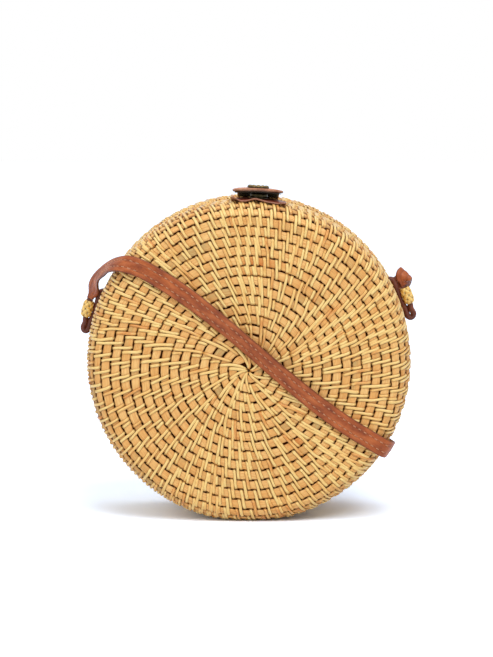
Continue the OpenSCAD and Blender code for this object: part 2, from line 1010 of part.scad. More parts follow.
front_face();
front_wall();
front_hoop();
front_lining();
back_face();
back_wall();
back_hoop();
back_lining();
left_gusset();
right_gusset();
hinge_lacings();
closure_root();
closure_tab();
tab_backing();
snap_cap();
snap_socket();
closure_patch();
snap_stud();
left_thong();
left_ring();
left_anchor();
right_thong();
right_ring();
right_anchor();
strap_bight();
strap_front();
strap_wrap();
strap_behind();
strap_slack();
strap_rise();
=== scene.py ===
"""Dressed model of a round woven shoulder bag that stands on its rim.

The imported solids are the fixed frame. The woven halves, their hoops and linings, the
closure, the side rings and the strap are built here as meshes in the same place, in
metres: X to the right, the front facing -Y and Z up from the floor.
"""

from __future__ import annotations

import logging
import math
import random
from collections.abc import Sequence
from copy import copy
from dataclasses import dataclass, field
from enum import Enum
from functools import cached_property

import bpy
import numpy as np
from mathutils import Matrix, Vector

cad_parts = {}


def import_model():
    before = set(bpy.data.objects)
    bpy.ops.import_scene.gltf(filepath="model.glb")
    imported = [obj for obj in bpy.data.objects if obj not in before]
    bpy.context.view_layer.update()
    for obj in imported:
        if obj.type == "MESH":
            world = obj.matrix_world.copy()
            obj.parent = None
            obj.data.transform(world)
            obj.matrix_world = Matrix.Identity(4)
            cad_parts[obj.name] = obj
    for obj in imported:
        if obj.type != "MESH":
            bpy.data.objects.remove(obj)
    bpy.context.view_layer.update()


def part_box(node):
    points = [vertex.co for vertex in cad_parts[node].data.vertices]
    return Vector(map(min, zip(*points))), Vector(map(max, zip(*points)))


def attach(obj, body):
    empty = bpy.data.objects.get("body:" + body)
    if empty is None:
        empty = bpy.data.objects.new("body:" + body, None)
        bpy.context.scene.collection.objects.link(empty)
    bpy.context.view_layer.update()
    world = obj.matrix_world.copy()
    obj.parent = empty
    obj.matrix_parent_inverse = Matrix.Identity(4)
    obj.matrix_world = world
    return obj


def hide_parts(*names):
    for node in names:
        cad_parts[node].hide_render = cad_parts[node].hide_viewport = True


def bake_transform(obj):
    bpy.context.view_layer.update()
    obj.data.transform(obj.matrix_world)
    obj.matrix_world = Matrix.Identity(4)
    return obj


log = logging.getLogger("bag")

Array = np.ndarray
Colour = tuple[float, float, float, float]
Triple = tuple[float, float, float]
Socket = bpy.types.NodeSocket

FLOOR_AIR = 0.00004
GOLDEN_SHARE = 0.618
GRAIN_STEP = 0.37
# Stakes of one group: two show side by side while the third passes under the row
GROUP = 3


def srgb(red: int, green: int, blue: int) -> Colour:
    """Linear colour of an 8-bit screen colour."""
    steps = [value / 255 for value in (red, green, blue)]
    linear = [((s + 0.055) / 1.055) ** 2.4 if s > 0.04045 else s / 12.92 for s in steps]
    return (linear[0], linear[1], linear[2], 1.0)


def unit(vectors: Array) -> Array:
    """The same vectors at length one, along the last axis."""
    return vectors / np.maximum(np.linalg.norm(vectors, axis=-1, keepdims=True), 1e-12)


def smoothstep(value: Array) -> Array:
    """Even rise from 0 to 1 of values clipped to that range."""
    t = np.clip(value, 0.0, 1.0)
    return t * t * (3.0 - 2.0 * t)


def around(count: int) -> Array:
    """Angles of one full turn in even steps."""
    return np.linspace(0.0, math.tau, count, endpoint=False)


def stacked(x: Array, y: Array, z: Array | float) -> Array:
    """Points from their three parts, each spread over the rows and columns of the others."""
    return np.stack(np.broadcast_arrays(x, y, z), axis=-1)


def off_floor(points: Array) -> Array:
    """The same points, with none of them in the floor."""
    return stacked(points[..., 0], points[..., 1], np.maximum(points[..., 2], FLOOR_AIR))


def box(node: str) -> tuple[Array, Array]:
    """Lowest and highest corner of a node of the frame."""
    low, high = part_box(node)
    return np.array(low), np.array(high)


class Half(Enum):
    """The two woven halves of the bag."""

    FRONT = "front"
    BACK = "back"

    @property
    def body(self) -> str:
        """Name of the body that this half rides on."""
        return f"{self.value}_half"

    @property
    def side(self) -> float:
        """Direction of this half's face along Y."""
        return -1.0 if self is Half.FRONT else 1.0


class Flank(Enum):
    """The two sides that carry a ring."""

    LEFT = "left"
    RIGHT = "right"

    @property
    def sign(self) -> float:
        """Direction of this side along X."""
        return -1.0 if self is Flank.LEFT else 1.0


class NodeTree:
    """Nodes of one material or world: most methods add a node and return its output."""

    def __init__(self, tree: bpy.types.NodeTree) -> None:
        """Works on a tree."""
        self.tree = tree

    def add(self, kind: str, inputs: dict, **settings) -> bpy.types.Node:
        """Adds one node.

        Args:
            kind: the node's type name.
            inputs: values or sockets by input name or number.
            settings: the node's own properties.

        Returns:
            The new node.
        """
        node = self.tree.nodes.new(kind)
        for key, value in settings.items():
            setattr(node, key, value)
        for key, value in inputs.items():
            self.feed(node.inputs[key], value)
        return node

    def feed(self, socket: Socket, value: Socket | float | tuple) -> None:
        """Links an output to a socket, or sets the socket's own value.

        Args:
            socket: the input to feed.
            value: the output or the value that it gets.
        """
        if isinstance(value, bpy.types.NodeSocket):
            self.tree.links.new(value, socket)
        else:
            socket.default_value = value

    def level(self, value: Socket, low: float, high: float, start: float, end: float) -> Socket:
        """Maps the range low to high onto start to end, clamped."""
        return self.add("ShaderNodeMapRange", {0: value, 1: low, 2: high, 3: start, 4: end}).outputs[0]

    def combine(self, first: Socket, second: Socket | float, operation: str = "ADD") -> Socket:
        """Combines two numbers, by default into their sum."""
        return self.add("ShaderNodeMath", {0: first, 1: second}, operation=operation).outputs[0]

    def stage_ray(self) -> Socket:
        """1 for rays that look at the stage: from the camera, mirrored or let through."""
        ray = self.add("ShaderNodeLightPath", {}).outputs
        direct = self.combine(ray["Is Camera Ray"], ray["Is Glossy Ray"], "MAXIMUM")
        return self.combine(direct, ray["Is Transmission Ray"], "MAXIMUM")


class Surface(NodeTree):
    """Node tree of one material, fed by the values that its meshes hold."""

    def __init__(self, name: str) -> None:
        """Starts the material with a bare Principled shader."""
        self.material = bpy.data.materials.new(name)
        self.material.use_nodes = True
        super().__init__(self.material.node_tree)
        self.shader = self.tree.nodes["Principled BSDF"]

    def number(self, name: str) -> Socket:
        """A number that the mesh holds at each point."""
        return self.add("ShaderNodeAttribute", {}, attribute_name=name).outputs["Fac"]

    def grain(self, scale: Triple) -> Socket:
        """The mesh's own coordinates, times a scale along each."""
        source = self.add("ShaderNodeAttribute", {}, attribute_name="grain").outputs["Vector"]
        return self.scaled(source, scale)

    def scaled(self, vector: Socket | Colour, scale: Triple) -> Socket:
        """A vector or colour times a scale for each part."""
        return self.add("ShaderNodeVectorMath", {0: vector, 1: scale}, operation="MULTIPLY").outputs[0]

    def noise(self, scale: Triple, detail: float = 2.0) -> Socket:
        """Noise from 0 to 1 along the mesh's own coordinates."""
        inputs = {"Vector": self.grain(scale), "Scale": 1.0, "Detail": detail}
        return self.add("ShaderNodeTexNoise", inputs).outputs["Fac"]

    def waves(self, scale: Triple, direction: str = "X") -> Socket:
        """Even waves from 0 to 1 along one of the mesh's own coordinates."""
        inputs = {"Vector": self.grain(scale), "Scale": 1.0}
        return self.add("ShaderNodeTexWave", inputs, bands_direction=direction).outputs["Fac"]

    def cells(self, scale: Triple) -> Socket:
        """Distance to the nearest of scattered points, as leather pores have."""
        inputs = {"Vector": self.grain(scale), "Scale": 1.0}
        return self.add("ShaderNodeTexVoronoi", inputs).outputs["Distance"]

    def ramp(self, factor: Socket, *stops: tuple[float, Colour]) -> Socket:
        """Colour that runs from stop to stop.

        Args:
            factor: the place along the ramp.
            stops: the place and the colour of each stop.

        Returns:
            The colour.
        """
        node = self.add("ShaderNodeValToRGB", {"Fac": factor})
        elements = node.color_ramp.elements
        while len(elements) < len(stops):
            elements.new(1.0)
        for element, (place, colour) in zip(elements, stops, strict=True):
            element.position = place
            element.color = colour
        return node.outputs["Color"]

    def blend(self, factor: Socket | float, first: Socket | Colour, second: Socket | Colour,
              mode: str = "MIX") -> Socket:
        """Mixes two colours by the second's share, laid over the first as the mode says."""
        inputs = {0: factor, 6: first, 7: second}
        return self.add("ShaderNodeMix", inputs, data_type="RGBA", blend_type=mode).outputs[2]

    def streaked(self, colour: Socket, fibre: Socket, dark: Colour, share: float) -> Socket:
        """Darkens a colour along its fibres: a share of the dark is multiplied in at the noise's lows."""
        streak = self.ramp(fibre, (0.3, dark), (0.6, srgb(255, 255, 255)))
        return self.blend(share, colour, streak, "MULTIPLY")

    def shaded_and_worn(self, colour: Socket, edge: Colour, gone: tuple[float, float], share: float) -> Socket:
        """Mixes in a colour where shading_and_wear is low, fully at the first value of gone and none at the
        second: painted shade in gaps, crevices and undersides, a painted highlight on the patch's front
        edge, worn edges on the strap.
        """
        return self.blend(self.level(self.number("shading_and_wear"), *gone, share, 0.0), colour, edge)

    def bump(self, height: Socket, distance: float, strength: float = 1.0,
             over: Socket | None = None) -> Socket:
        """Normal of a fine relief.

        Args:
            height: the relief, from 0 to 1.
            distance: its depth in metres.
            strength: how much of it shows.
            over: another normal that it lies over, or none.

        Returns:
            The normal.
        """
        inputs: dict = {"Height": height, "Distance": distance, "Strength": strength}
        if over is not None:
            inputs["Normal"] = over
        return self.add("ShaderNodeBump", inputs).outputs["Normal"]

    def finish(self, colour: Socket | Colour, roughness: Socket | float,
               normal: Socket | None = None, **constants: float) -> bpy.types.Material:
        """Feeds the shader.

        Args:
            colour: base colour.
            roughness: roughness.
            normal: normal of the fine relief, or none.
            constants: other inputs by name, with underscores for spaces.

        Returns:
            The finished material.
        """
        self.feed(self.shader.inputs["Base Color"], colour)
        self.feed(self.shader.inputs["Roughness"], roughness)
        if normal is not None:
            self.feed(self.shader.inputs["Normal"], normal)
        for name, value in constants.items():
            self.shader.inputs[name.replace("_", " ")].default_value = value
        return self.material


@dataclass(frozen=True)
class Finish:
    """Look of one material, told apart by its name."""

    name: str

    def material(self) -> bpy.types.Material:
        """Builds the material."""
        raise NotImplementedError(self.name)


@dataclass(frozen=True)
class ReedFinish(Finish):
    """Flat split reed of the rows: tan, with fine fibres, and a dark brown of painted shade at its edges
    along the gaps, where it sinks under the stitches and underneath.
    """

    name: str = "flat_reed"
    grey: Colour = srgb(206, 174, 112)
    tan: Colour = srgb(240, 184, 108)
    pale: Colour = srgb(252, 208, 136)
    orange: Colour = srgb(214, 132, 60)
    # Painted shade: the dark brown of the gaps' edges, of the reed under the stitches and of its underside.
    row_shade_colour: Colour = srgb(114, 52, 4)
    streak: Colour = srgb(226, 198, 168)
    patch_scale: Triple = (34.0, 70.0, 9.0)
    band_scale: Triple = (110.0, 1100.0, 5.0)
    fibre_scale: Triple = (70.0, 3400.0, 3.0)
    fibre_depth: float = 0.00016

    def material(self) -> bpy.types.Material:
        """Builds the material."""
        s = Surface(self.name)
        patches = s.level(s.noise(self.patch_scale, 3.0), 0.25, 0.75, -0.28, 0.28)
        tone = s.combine(s.number("shade"), patches)
        colour = s.ramp(tone, (0.02, self.grey), (0.3, self.tan), (0.55, self.pale),
                        (0.74, self.tan), (0.98, self.orange))
        fibre = s.noise(self.fibre_scale)
        colour = s.streaked(colour, fibre, self.streak, 0.8)
        bands = s.level(s.noise(self.band_scale, 3.0), 0.5, 0.74, 0.0, 0.45)
        # Painted shade: this colour comes in where the rows' shading_and_wear number is low.
        colour = s.shaded_and_worn(s.blend(bands, colour, self.orange), self.row_shade_colour, (0.08, 0.82), 0.95)
        normal = s.bump(fibre, self.fibre_depth, 0.8)
        return s.finish(colour, s.level(fibre, 0.2, 0.8, 0.62, 0.44), normal, Specular_IOR_Level=0.35)


@dataclass(frozen=True)
class CaneFinish(Finish):
    """Split cane: pale yellow with a hard shiny skin; its brown edge colour is painted shade along the
    stitches' edges, where they dip into the gaps, on the wall, and between the hoop's wraps.
    """

    name: str = "split_cane"
    pale: Colour = srgb(255, 224, 146)
    straw: Colour = srgb(250, 204, 122)
    amber: Colour = srgb(228, 158, 78)
    # Painted shade, mixed in where shading_and_wear is low.
    edge: Colour = srgb(150, 78, 12)
    streak: Colour = srgb(222, 206, 184)
    drift_scale: Triple = (120.0, 300.0, 7.0)
    fibre_scale: Triple = (90.0, 5200.0, 3.0)
    fibre_depth: float = 0.0001

    def material(self) -> bpy.types.Material:
        """Builds the material."""
        s = Surface(self.name)
        drift = s.level(s.noise(self.drift_scale), 0.3, 0.7, -0.18, 0.18)
        tone = s.combine(s.number("shade"), drift)
        colour = s.ramp(tone, (0.1, self.amber), (0.34, self.straw), (0.6, self.pale), (0.95, self.straw))
        fibre = s.noise(self.fibre_scale)
        # Painted shade: the brown edge colour comes in at low shading_and_wear.
        colour = s.shaded_and_worn(s.streaked(colour, fibre, self.streak, 0.6), self.edge, (0.0, 0.72), 0.85)
        normal = s.bump(fibre, self.fibre_depth, 0.5)
        return s.finish(colour, s.level(fibre, 0.2, 0.8, 0.42, 0.28), normal, Specular_IOR_Level=0.5)


@dataclass(frozen=True)
class GoldCaneFinish(Finish):
    """Golden plait of the side rings; its pit colour is painted shade in the pits between the strands and
    inside the bore.
    """

    name: str = "golden_plait"
    bright: Colour = srgb(255, 224, 136)
    gold: Colour = srgb(248, 190, 86)
    # Painted shade of the pits and the bore.
    pit: Colour = srgb(78, 38, 8)
    drift_scale: Triple = (260.0, 900.0, 5.0)
    fibre_scale: Triple = (200.0, 5000.0, 3.0)
    fibre_depth: float = 0.00012

    def material(self) -> bpy.types.Material:
        """Builds the material."""
        s = Surface(self.name)
        colour = s.ramp(s.noise(self.drift_scale, 3.0), (0.3, self.gold), (0.66, self.bright))
        colour = s.shaded_and_worn(colour, self.pit, (0.25, 0.8), 0.95)
        normal = s.bump(s.noise(self.fibre_scale), self.fibre_depth, 0.6)
        return s.finish(colour, 0.34, normal, Specular_IOR_Level=0.6)


@dataclass(frozen=True)
class GapShadeFinish(Finish):
    """Dark sheet behind the weave, seen only through its gaps: painted shade, standing for the shade deep in
    the gaps.
    """

    name: str = "gap_shade_sheet"
    dark: Colour = srgb(38, 13, 0)
    brown: Colour = srgb(90, 38, 2)
    drift_scale: Triple = (160.0, 160.0, 160.0)
    drift_depth: float = 0.0004

    def material(self) -> bpy.types.Material:
        """Builds the material."""
        s = Surface(self.name)
        drift = s.noise(self.drift_scale, 3.0)
        colour = s.ramp(drift, (0.35, self.dark), (0.8, self.brown))
        return s.finish(colour, 0.9, s.bump(drift, self.drift_depth), Specular_IOR_Level=0.1)


@dataclass(frozen=True)
class LeatherFinish(Finish):
    """Smooth brown leather with fine pores, worn darker along its edges."""

    name: str = "brown_leather"
    low: Colour = srgb(118, 50, 16)
    mid: Colour = srgb(162, 78, 28)
    high: Colour = srgb(196, 108, 54)
    edge: Colour = srgb(80, 32, 8)
    roughness: float = 0.5
    cloud_scale: Triple = (90.0, 240.0, 4.0)
    crease_scale: Triple = (420.0, 150.0, 4.0)
    crease_depth: float = 0.0005
    pore_scale: Triple = (1500.0, 1500.0, 1500.0)
    pore_depth: float = 0.00006
    grain_scale: Triple = (900.0, 900.0, 900.0)
    grain_depth: float = 0.0001

    def material(self) -> bpy.types.Material:
        """Builds the material."""
        s = Surface(self.name)
        cloud = s.noise(self.cloud_scale, 4.0)
        colour = s.ramp(cloud, (0.28, self.low), (0.5, self.mid), (0.74, self.high))
        colour = s.shaded_and_worn(colour, self.edge, (0.0, 0.85), 0.85)
        normal = s.bump(s.noise(self.crease_scale, 3.0), self.crease_depth, 0.5)
        normal = s.bump(s.cells(self.pore_scale), self.pore_depth, 0.5, normal)
        normal = s.bump(s.noise(self.grain_scale, 3.0), self.grain_depth, 0.5, normal)
        rough = s.level(cloud, 0.3, 0.7, self.roughness + 0.08, self.roughness - 0.06)
        return s.finish(colour, rough, normal, Specular_IOR_Level=0.36, Coat_Weight=0.1, Coat_Roughness=0.36)


# The tab's near-black edge colour is painted shade on its underside; it also darkens the tab's cut edges by
# about a third.
TAB = LeatherFinish(
    name="tab_leather", low=srgb(158, 94, 62), mid=srgb(196, 130, 94), high=srgb(218, 160, 124),
    edge=srgb(30, 24, 15), roughness=0.46,
)
# The patch's pale edge colour is a painted highlight along its turned-up front edge, and it also covers the
# underside.
PATCH = LeatherFinish(
    name="patch_leather", low=srgb(88, 30, 18), mid=srgb(124, 50, 32), high=srgb(150, 74, 52),
    edge=srgb(160, 112, 86), roughness=0.42,
)
# A darker copy of the strap's leather for the thongs: painted shade, for the shade they lie in beside the
# wall and in the rings.
SHADED_THONG = LeatherFinish(
    name="thong_leather_in_painted_shade", low=srgb(78, 34, 20), mid=srgb(110, 52, 32), high=srgb(140, 76, 50),
    edge=srgb(60, 26, 16),
)
# The backing's dark greenish colour is the suede's own dark and also painted shade for the gap under the
# tab.
SHADED_SUEDE = LeatherFinish(
    name="dark_suede_and_painted_shade", low=srgb(46, 42, 30), mid=srgb(66, 56, 40), high=srgb(92, 80, 58),
    edge=srgb(24, 20, 14), roughness=0.85,
)


@dataclass(frozen=True)
class ThreadFinish(Finish):
    """Pale twisted sewing thread."""

    name: str = "sewing_thread"
    light: Colour = srgb(240, 184, 144)
    dark: Colour = srgb(192, 130, 94)
    twist_scale: Triple = (2600.0, 1500.0, 1.0)
    twist_depth: float = 0.00008

    def material(self) -> bpy.types.Material:
        """Builds the material."""
        s = Surface(self.name)
        twist = s.waves(self.twist_scale)
        colour = s.ramp(twist, (0.2, self.dark), (0.8, self.light))
        return s.finish(colour, 0.7, s.bump(twist, self.twist_depth))


@dataclass(frozen=True)
class BrassFinish(Finish):
    """Dark antique brass, with its high places rubbed lighter."""

    name: str = "antique_brass"
    dark: Colour = srgb(34, 30, 16)
    olive: Colour = srgb(74, 64, 36)
    rubbed: Colour = srgb(152, 132, 92)
    patina_scale: Triple = (520.0, 520.0, 520.0)
    patina_depth: float = 0.00006

    def material(self) -> bpy.types.Material:
        """Builds the material."""
        s = Surface(self.name)
        patina = s.noise(self.patina_scale, 4.0)
        colour = s.ramp(patina, (0.35, self.dark), (0.62, self.olive))
        colour = s.blend(s.level(s.number("shading_and_wear"), 0.45, 1.0, 0.0, 0.85), colour, self.rubbed)
        rough = s.level(patina, 0.3, 0.7, 0.36, 0.5)
        return s.finish(colour, rough, s.bump(patina, self.patina_depth), Metallic=0.85)


@dataclass(frozen=True)
class ClothFinish(Finish):
    """Plain woven cotton of the lining."""

    name: str = "cotton_lining"
    light: Colour = srgb(226, 212, 182)
    shade: Colour = srgb(196, 178, 142)
    thread_scale: float = 700.0
    thread_depth: float = 0.00012
    drift_scale: Triple = (40.0, 40.0, 40.0)

    def material(self) -> bpy.types.Material:
        """Builds the material."""
        s = Surface(self.name)
        across = s.waves((self.thread_scale, 0.0, 0.0))
        along = s.waves((0.0, self.thread_scale, 0.0), "Y")
        weave = s.combine(across, along, "MULTIPLY")
        drift = s.level(s.noise(self.drift_scale, 3.0), 0.3, 0.7, 0.0, 0.5)
        colour = s.blend(drift, self.light, self.shade)
        colour = s.blend(s.level(weave, 0.0, 0.6, 0.45, 0.0), colour, self.shade)
        normal = s.bump(weave, self.thread_depth)
        return s.finish(colour, 0.88, normal, Sheen_Weight=0.15, Specular_IOR_Level=0.2)


@dataclass(frozen=True)
class FloorFinish(Finish):
    """Pale sweep under the bag, white to the camera apart from the bag's shadow."""

    name: str = "pale_floor"
    paper: Colour = (0.82, 0.82, 0.82, 1.0)
    cloudy: Colour = (0.78, 0.78, 0.78, 1.0)
    tint: Triple = (1.0, 1.12, 1.3)
    cloud_scale: Triple = (9.0, 9.0, 9.0)
    near: float = 0.15
    far: float = 2.2
    near_gain: float = 1.75
    far_gain: float = 2.7

    def material(self) -> bpy.types.Material:
        """Builds the material."""
        s = Surface(self.name)
        cloud = s.level(s.noise(self.cloud_scale), 0.4, 0.6, 0.0, 0.03)
        paper = s.blend(cloud, self.paper, self.cloudy)
        place = s.grain((1.0, 1.0, 1.0))
        away = s.add("ShaderNodeVectorMath", {0: place}, operation="LENGTH").outputs["Value"]
        gain = s.level(away, self.near, self.far, self.near_gain, self.far_gain)
        inputs = {0: s.scaled(paper, self.tint), "Scale": gain}
        bright = s.add("ShaderNodeVectorMath", inputs, operation="SCALE").outputs[0]
        return s.finish(s.blend(s.stage_ray(), paper, bright), 0.9, Specular_IOR_Level=0.0)


@dataclass
class Palette:
    """The bag's materials, each built once when it is first asked for."""

    built: dict[str, bpy.types.Material] = field(default_factory=dict)

    def get(self, finish: Finish) -> bpy.types.Material:
        """Material of a finish.

        Args:
            finish: one of the finishes, told apart by its name.

        Returns:
            Its material.
        """
        if finish.name not in self.built:
            self.built[finish.name] = finish.material()
        return self.built[finish.name]


class Loft:
    """Mesh of one piece, collected from grids of points."""

    VALUES = {"grain": ("FLOAT_VECTOR", "vector"), "shade": ("FLOAT", "value"), "shading_and_wear": ("FLOAT", "value")}

    def __init__(self) -> None:
        """Starts empty."""
        self.points: list[Array] = []
        self.faces: list[list[int]] = []
        self.values: dict[str, list[Array]] = {name: [] for name in self.VALUES}
        self.count = 0

    @classmethod
    def of(cls, points: Array, grain: Array, shade: Array | float = 0.5, shading_and_wear: Array | float = 1.0,
           **joins: bool) -> Loft:
        """Mesh of a single grid, with the arguments of grid."""
        loft = cls()
        loft.grid(points, grain, shade, shading_and_wear, **joins)
        return loft

    def grid(self, points: Array, grain: Array, shade: Array | float = 0.5, shading_and_wear: Array | float = 1.0,
             ring: bool = True, loop: bool = False, crisp: bool = False) -> None:
        """Adds rows of points joined to the next row.

        Args:
            points: array of rows, columns and XYZ.
            grain: the same for the material's coordinates, in metres.
            shade: tone of each point.
            shading_and_wear: 0 in a crevice, under a part or at an edge, 1 in the open; where it is low the
                finishes paint shade, on the patch's edge a highlight, and on the strap's edges wear.
            ring: joins each row's last column to its first.
            loop: joins the last row to the first.
            crisp: gives the faces that close both ends their own points, so they stay flat.
        """
        rows, columns = points.shape[:2]
        first = self.count + np.arange(rows * columns).reshape(rows, columns)
        near = first if loop else first[:-1]
        far = np.roll(first, -1, axis=0) if loop else first[1:]
        if ring:
            quads = [near, far, np.roll(far, -1, axis=1), np.roll(near, -1, axis=1)]
        else:
            quads = [near[:, :-1], far[:, :-1], far[:, 1:], near[:, 1:]]
        self.faces += np.stack([q.reshape(-1) for q in quads], axis=1).tolist()
        kept = np.arange(rows * columns)
        if ring and not loop:
            ends = np.concatenate([first[0], first[-1]])
            if crisp:
                ends = self.count + rows * columns + np.arange(2 * columns)
                kept = np.concatenate([kept, kept[:columns], kept[-columns:]])
            self.faces.append(ends[:columns].tolist())
            self.faces.append(ends[columns:][::-1].tolist())
        self.points.append(points.reshape(-1, 3)[kept])
        self.values["grain"].append(np.broadcast_to(grain, points.shape).reshape(-1, 3)[kept])
        for name, value in (("shade", shade), ("shading_and_wear", shading_and_wear)):
            self.values[name].append(np.broadcast_to(value, (rows, columns)).reshape(-1)[kept])
        self.count += len(kept)

    def piece(self, name: str, material: bpy.types.Material, slot: str) -> bpy.types.Object:
        """Makes the object.

        Args:
            name: the piece's name.
            material: its material.
            slot: not used.

        Returns:
            The new object, linked to the scene.
        """
        mesh = bpy.data.meshes.new(name)
        mesh.from_pydata(np.concatenate(self.points).tolist(), [], self.faces)
        for key, (kind, store) in self.VALUES.items():
            data = np.concatenate(self.values[key]).astype(np.float32).reshape(-1)
            mesh.attributes.new(key, kind, "POINT").data.foreach_set(store, data)
        mesh.shade_smooth()
        mesh.materials.append(material)
        mesh.update()
        obj = bpy.data.objects.new(name, mesh)
        bpy.context.scene.collection.objects.link(obj)
        log.info("%s: %d faces", name, len(self.faces))
        return obj


@dataclass(frozen=True)
class ShellForm:
    """Meridian of one woven half, from the middle of its face to its edge at the seam."""

    outer_r: float
    depth: float
    axis_z: float
    shoulder_r: float = 0.009
    shoulder_h: float = 0.014
    shoulder_steps: int = 200
    seam_edge: float = 0.0049
    centre_drop: float = 0.004
    rest_band: float = 0.0022
    rest_air: float = 0.0003

    @property
    def face_r(self) -> float:
        """Radius at which the flat face ends."""
        return self.outer_r - self.shoulder_r

    @cached_property
    def shoulder(self) -> tuple[Array, Array]:
        """Turns of the shoulder's quarter oval, and the lengths along it up to each."""
        turns = np.linspace(0.0, math.pi / 2, self.shoulder_steps)
        step = np.hypot(self.shoulder_r * np.cos(turns), self.shoulder_h * np.sin(turns))
        lengths = np.concatenate([[0.0], np.cumsum((step[1:] + step[:-1]) / 2 * np.diff(turns))])
        return turns, lengths

    @property
    def bend(self) -> float:
        """Length of the shoulder along the meridian."""
        return float(self.shoulder[1][-1])

    @property
    def length(self) -> float:
        """Length of the whole meridian."""
        return self.face_r + self.bend + self.depth - self.shoulder_h - self.seam_edge

    def turned(self, s: Array) -> Array:
        """How far the weave has turned at lengths along the meridian: 0 on the face, 1 on the wall."""
        return smoothstep((s - self.face_r) / self.bend)

    def meridian(self, s: Array) -> tuple[Array, Array, Array, Array]:
        """Outline at a length from the middle of the face.

        Args:
            s: lengths along the meridian.

        Returns:
            Radius, height over the seam, and the outward normal's two parts.
        """
        turns, lengths = self.shoulder
        turn = np.interp(s - self.face_r, lengths, turns)
        down = np.maximum(s - self.face_r - self.bend, 0.0)
        radius = np.minimum(s, self.face_r) + self.shoulder_r * np.sin(turn)
        height = self.depth - self.shoulder_h * (1.0 - np.cos(turn)) - down
        out, front = self.shoulder_h * np.sin(turn), self.shoulder_r * np.cos(turn)
        size = np.hypot(out, front)
        return radius, height, out / size, front / size

    def centred(self, s: Array, theta: Array) -> tuple[Array, Array]:
        """Lengths and angles about the bag's axis, from those about the weave's lower middle.

        Args:
            s: lengths from the weave's middle.
            theta: angles round it.

        Returns:
            The same places' lengths and angles about the axis.
        """
        drop = self.centre_drop * (1.0 - smoothstep((s - self.face_r) / (self.length - self.face_r)))
        x, z = s * np.cos(theta), s * np.sin(theta) - drop
        return np.hypot(x, z), np.arctan2(z, x)

    def place(self, half: Half, s: Array, theta: Array, lift: Array | float) -> Array:
        """Points on or off the shell.

        Args:
            half: which half.
            s: lengths along the meridian.
            theta: angles from the right, counter-clockwise as seen on the face.
            lift: distances off the shell, outwards.

        Returns:
            XYZ of each point, pressed flat where the bag stands.
        """
        s, theta = self.centred(s, theta)
        radius, height, normal_r, normal_h = self.meridian(s)
        radius = radius + normal_r * lift
        height = height + normal_h * lift
        z = self.axis_z + radius * np.sin(theta)
        return stacked(-half.side * radius * np.cos(theta), half.side * height, self.pressed(z))

    def pressed(self, z: Array) -> Array:
        """Heights with everything below the rest band squeezed in above the floor."""
        depth = self.outer_r - self.axis_z + self.rest_air
        squeezed = self.rest_band * (z + depth) / (self.rest_band + depth)
        return np.where(z < self.rest_band, squeezed, z)

    def normal(self, half: Half, s: Array, theta: Array) -> Array:
        """Outward normals of the shell.

        Args:
            half: which half.
            s: lengths along the meridian.
            theta: angles as in place.

        Returns:
            XYZ of each normal.
        """
        s, theta = self.centred(s, theta)
        _, _, normal_r, normal_h = self.meridian(s)
        return stacked(-half.side * normal_r * np.cos(theta), half.side * normal_h, normal_r * np.sin(theta))


@dataclass(frozen=True)
class Section:
    """Outline of a section: shares of the width and of the height, and the shading_and_wear number at each
    corner, which the finishes turn into painted shade, a painted highlight on the patch and wear on the
    strap and the stud.

    The width counts from the middle, but from the back edge in FLAP. In CAP the number is that of the beads,
    which rise with it.
    """

    across: Array
    out: Array
    shading_and_wear: Array


ROW = Section(
    across=np.array([-1, -0.88, -0.66, -0.3, 0.3, 0.66, 0.88, 1, 0.8, -0.8]),
    out=np.array([0.6, 0.92, 1, 1, 1, 1, 0.92, 0.6, 0, 0]),
    shading_and_wear=np.array([1, 1, 1, 1, 1, 1, 1, 1, 0, 0]),
)
STITCH = Section(
    across=np.array([-1, -0.74, 0, 0.74, 1, 0]),
    out=np.array([-0.15, 0.66, 1, 0.66, -0.15, -0.4]),
    shading_and_wear=np.array([0, 0.6, 1, 0.6, 0, 0]),
)
CANE_LOOP = Section(
    across=np.array([-1, -0.8, 0, 0.8, 1, 0.8, 0, -0.8]),
    out=np.array([0.5, 0.92, 1, 0.92, 0.5, 0.05, 0, 0.05]),
    shading_and_wear=np.ones(8),
)
SOFT_BAND = Section(
    across=np.array([-1, -0.92, -0.7, -0.36, 0, 0.36, 0.7, 0.92, 1, 0.92, 0.7, 0, -0.7, -0.92]),
    out=np.array([0, 0.46, 0.8, 0.96, 1, 0.96, 0.8, 0.46, 0, -0.46, -0.8, -1, -0.8, -0.46]),
    shading_and_wear=np.array([0.45, 0.7, 1, 1, 1, 1, 1, 0.7, 0.45, 0.5, 0.8, 0.9, 0.8, 0.5]),
)
SEWN_BAND = Section(
    across=np.array([-1, -0.97, -0.86, -0.6, -0.48, -0.41, -0.34, -0.2, 0, 0.2, 0.34, 0.41, 0.48, 0.6,
                     0.86, 0.97, 1, 0.97, 0.86, 0.4, -0.4, -0.86, -0.97]),
    out=np.array([0, 0.5, 0.8, 0.92, 0.86, 0.66, 0.86, 1.05, 1.1, 1.05, 0.86, 0.66, 0.86, 0.92,
                  0.8, 0.5, 0, -0.62, -0.95, -1, -1, -0.95, -0.62]),
    shading_and_wear=np.array([0, 0.25, 0.8, 1, 0.8, 0.35, 0.8, 1, 1, 1, 0.8, 0.35, 0.8, 1,
                   0.8, 0.25, 0, 0.2, 0.7, 0.8, 0.8, 0.7, 0.2]),
)
TONGUE = Section(
    across=np.array([-1, -0.99, -0.95, -0.8, -0.5, -0.2, 0.1, 0.4, 0.7, 0.9, 0.97, 1,
                     0.97, 0.7, 0.2, -0.3, -0.8, -0.97]),
    out=np.array([0.5, 0.82, 0.97, 1, 1, 1, 1, 1, 1, 0.98, 0.85, 0.5,
                  0.1, 0, 0, 0, 0, 0.1]),
    shading_and_wear=np.repeat([1, 0], [12, 6]),
)
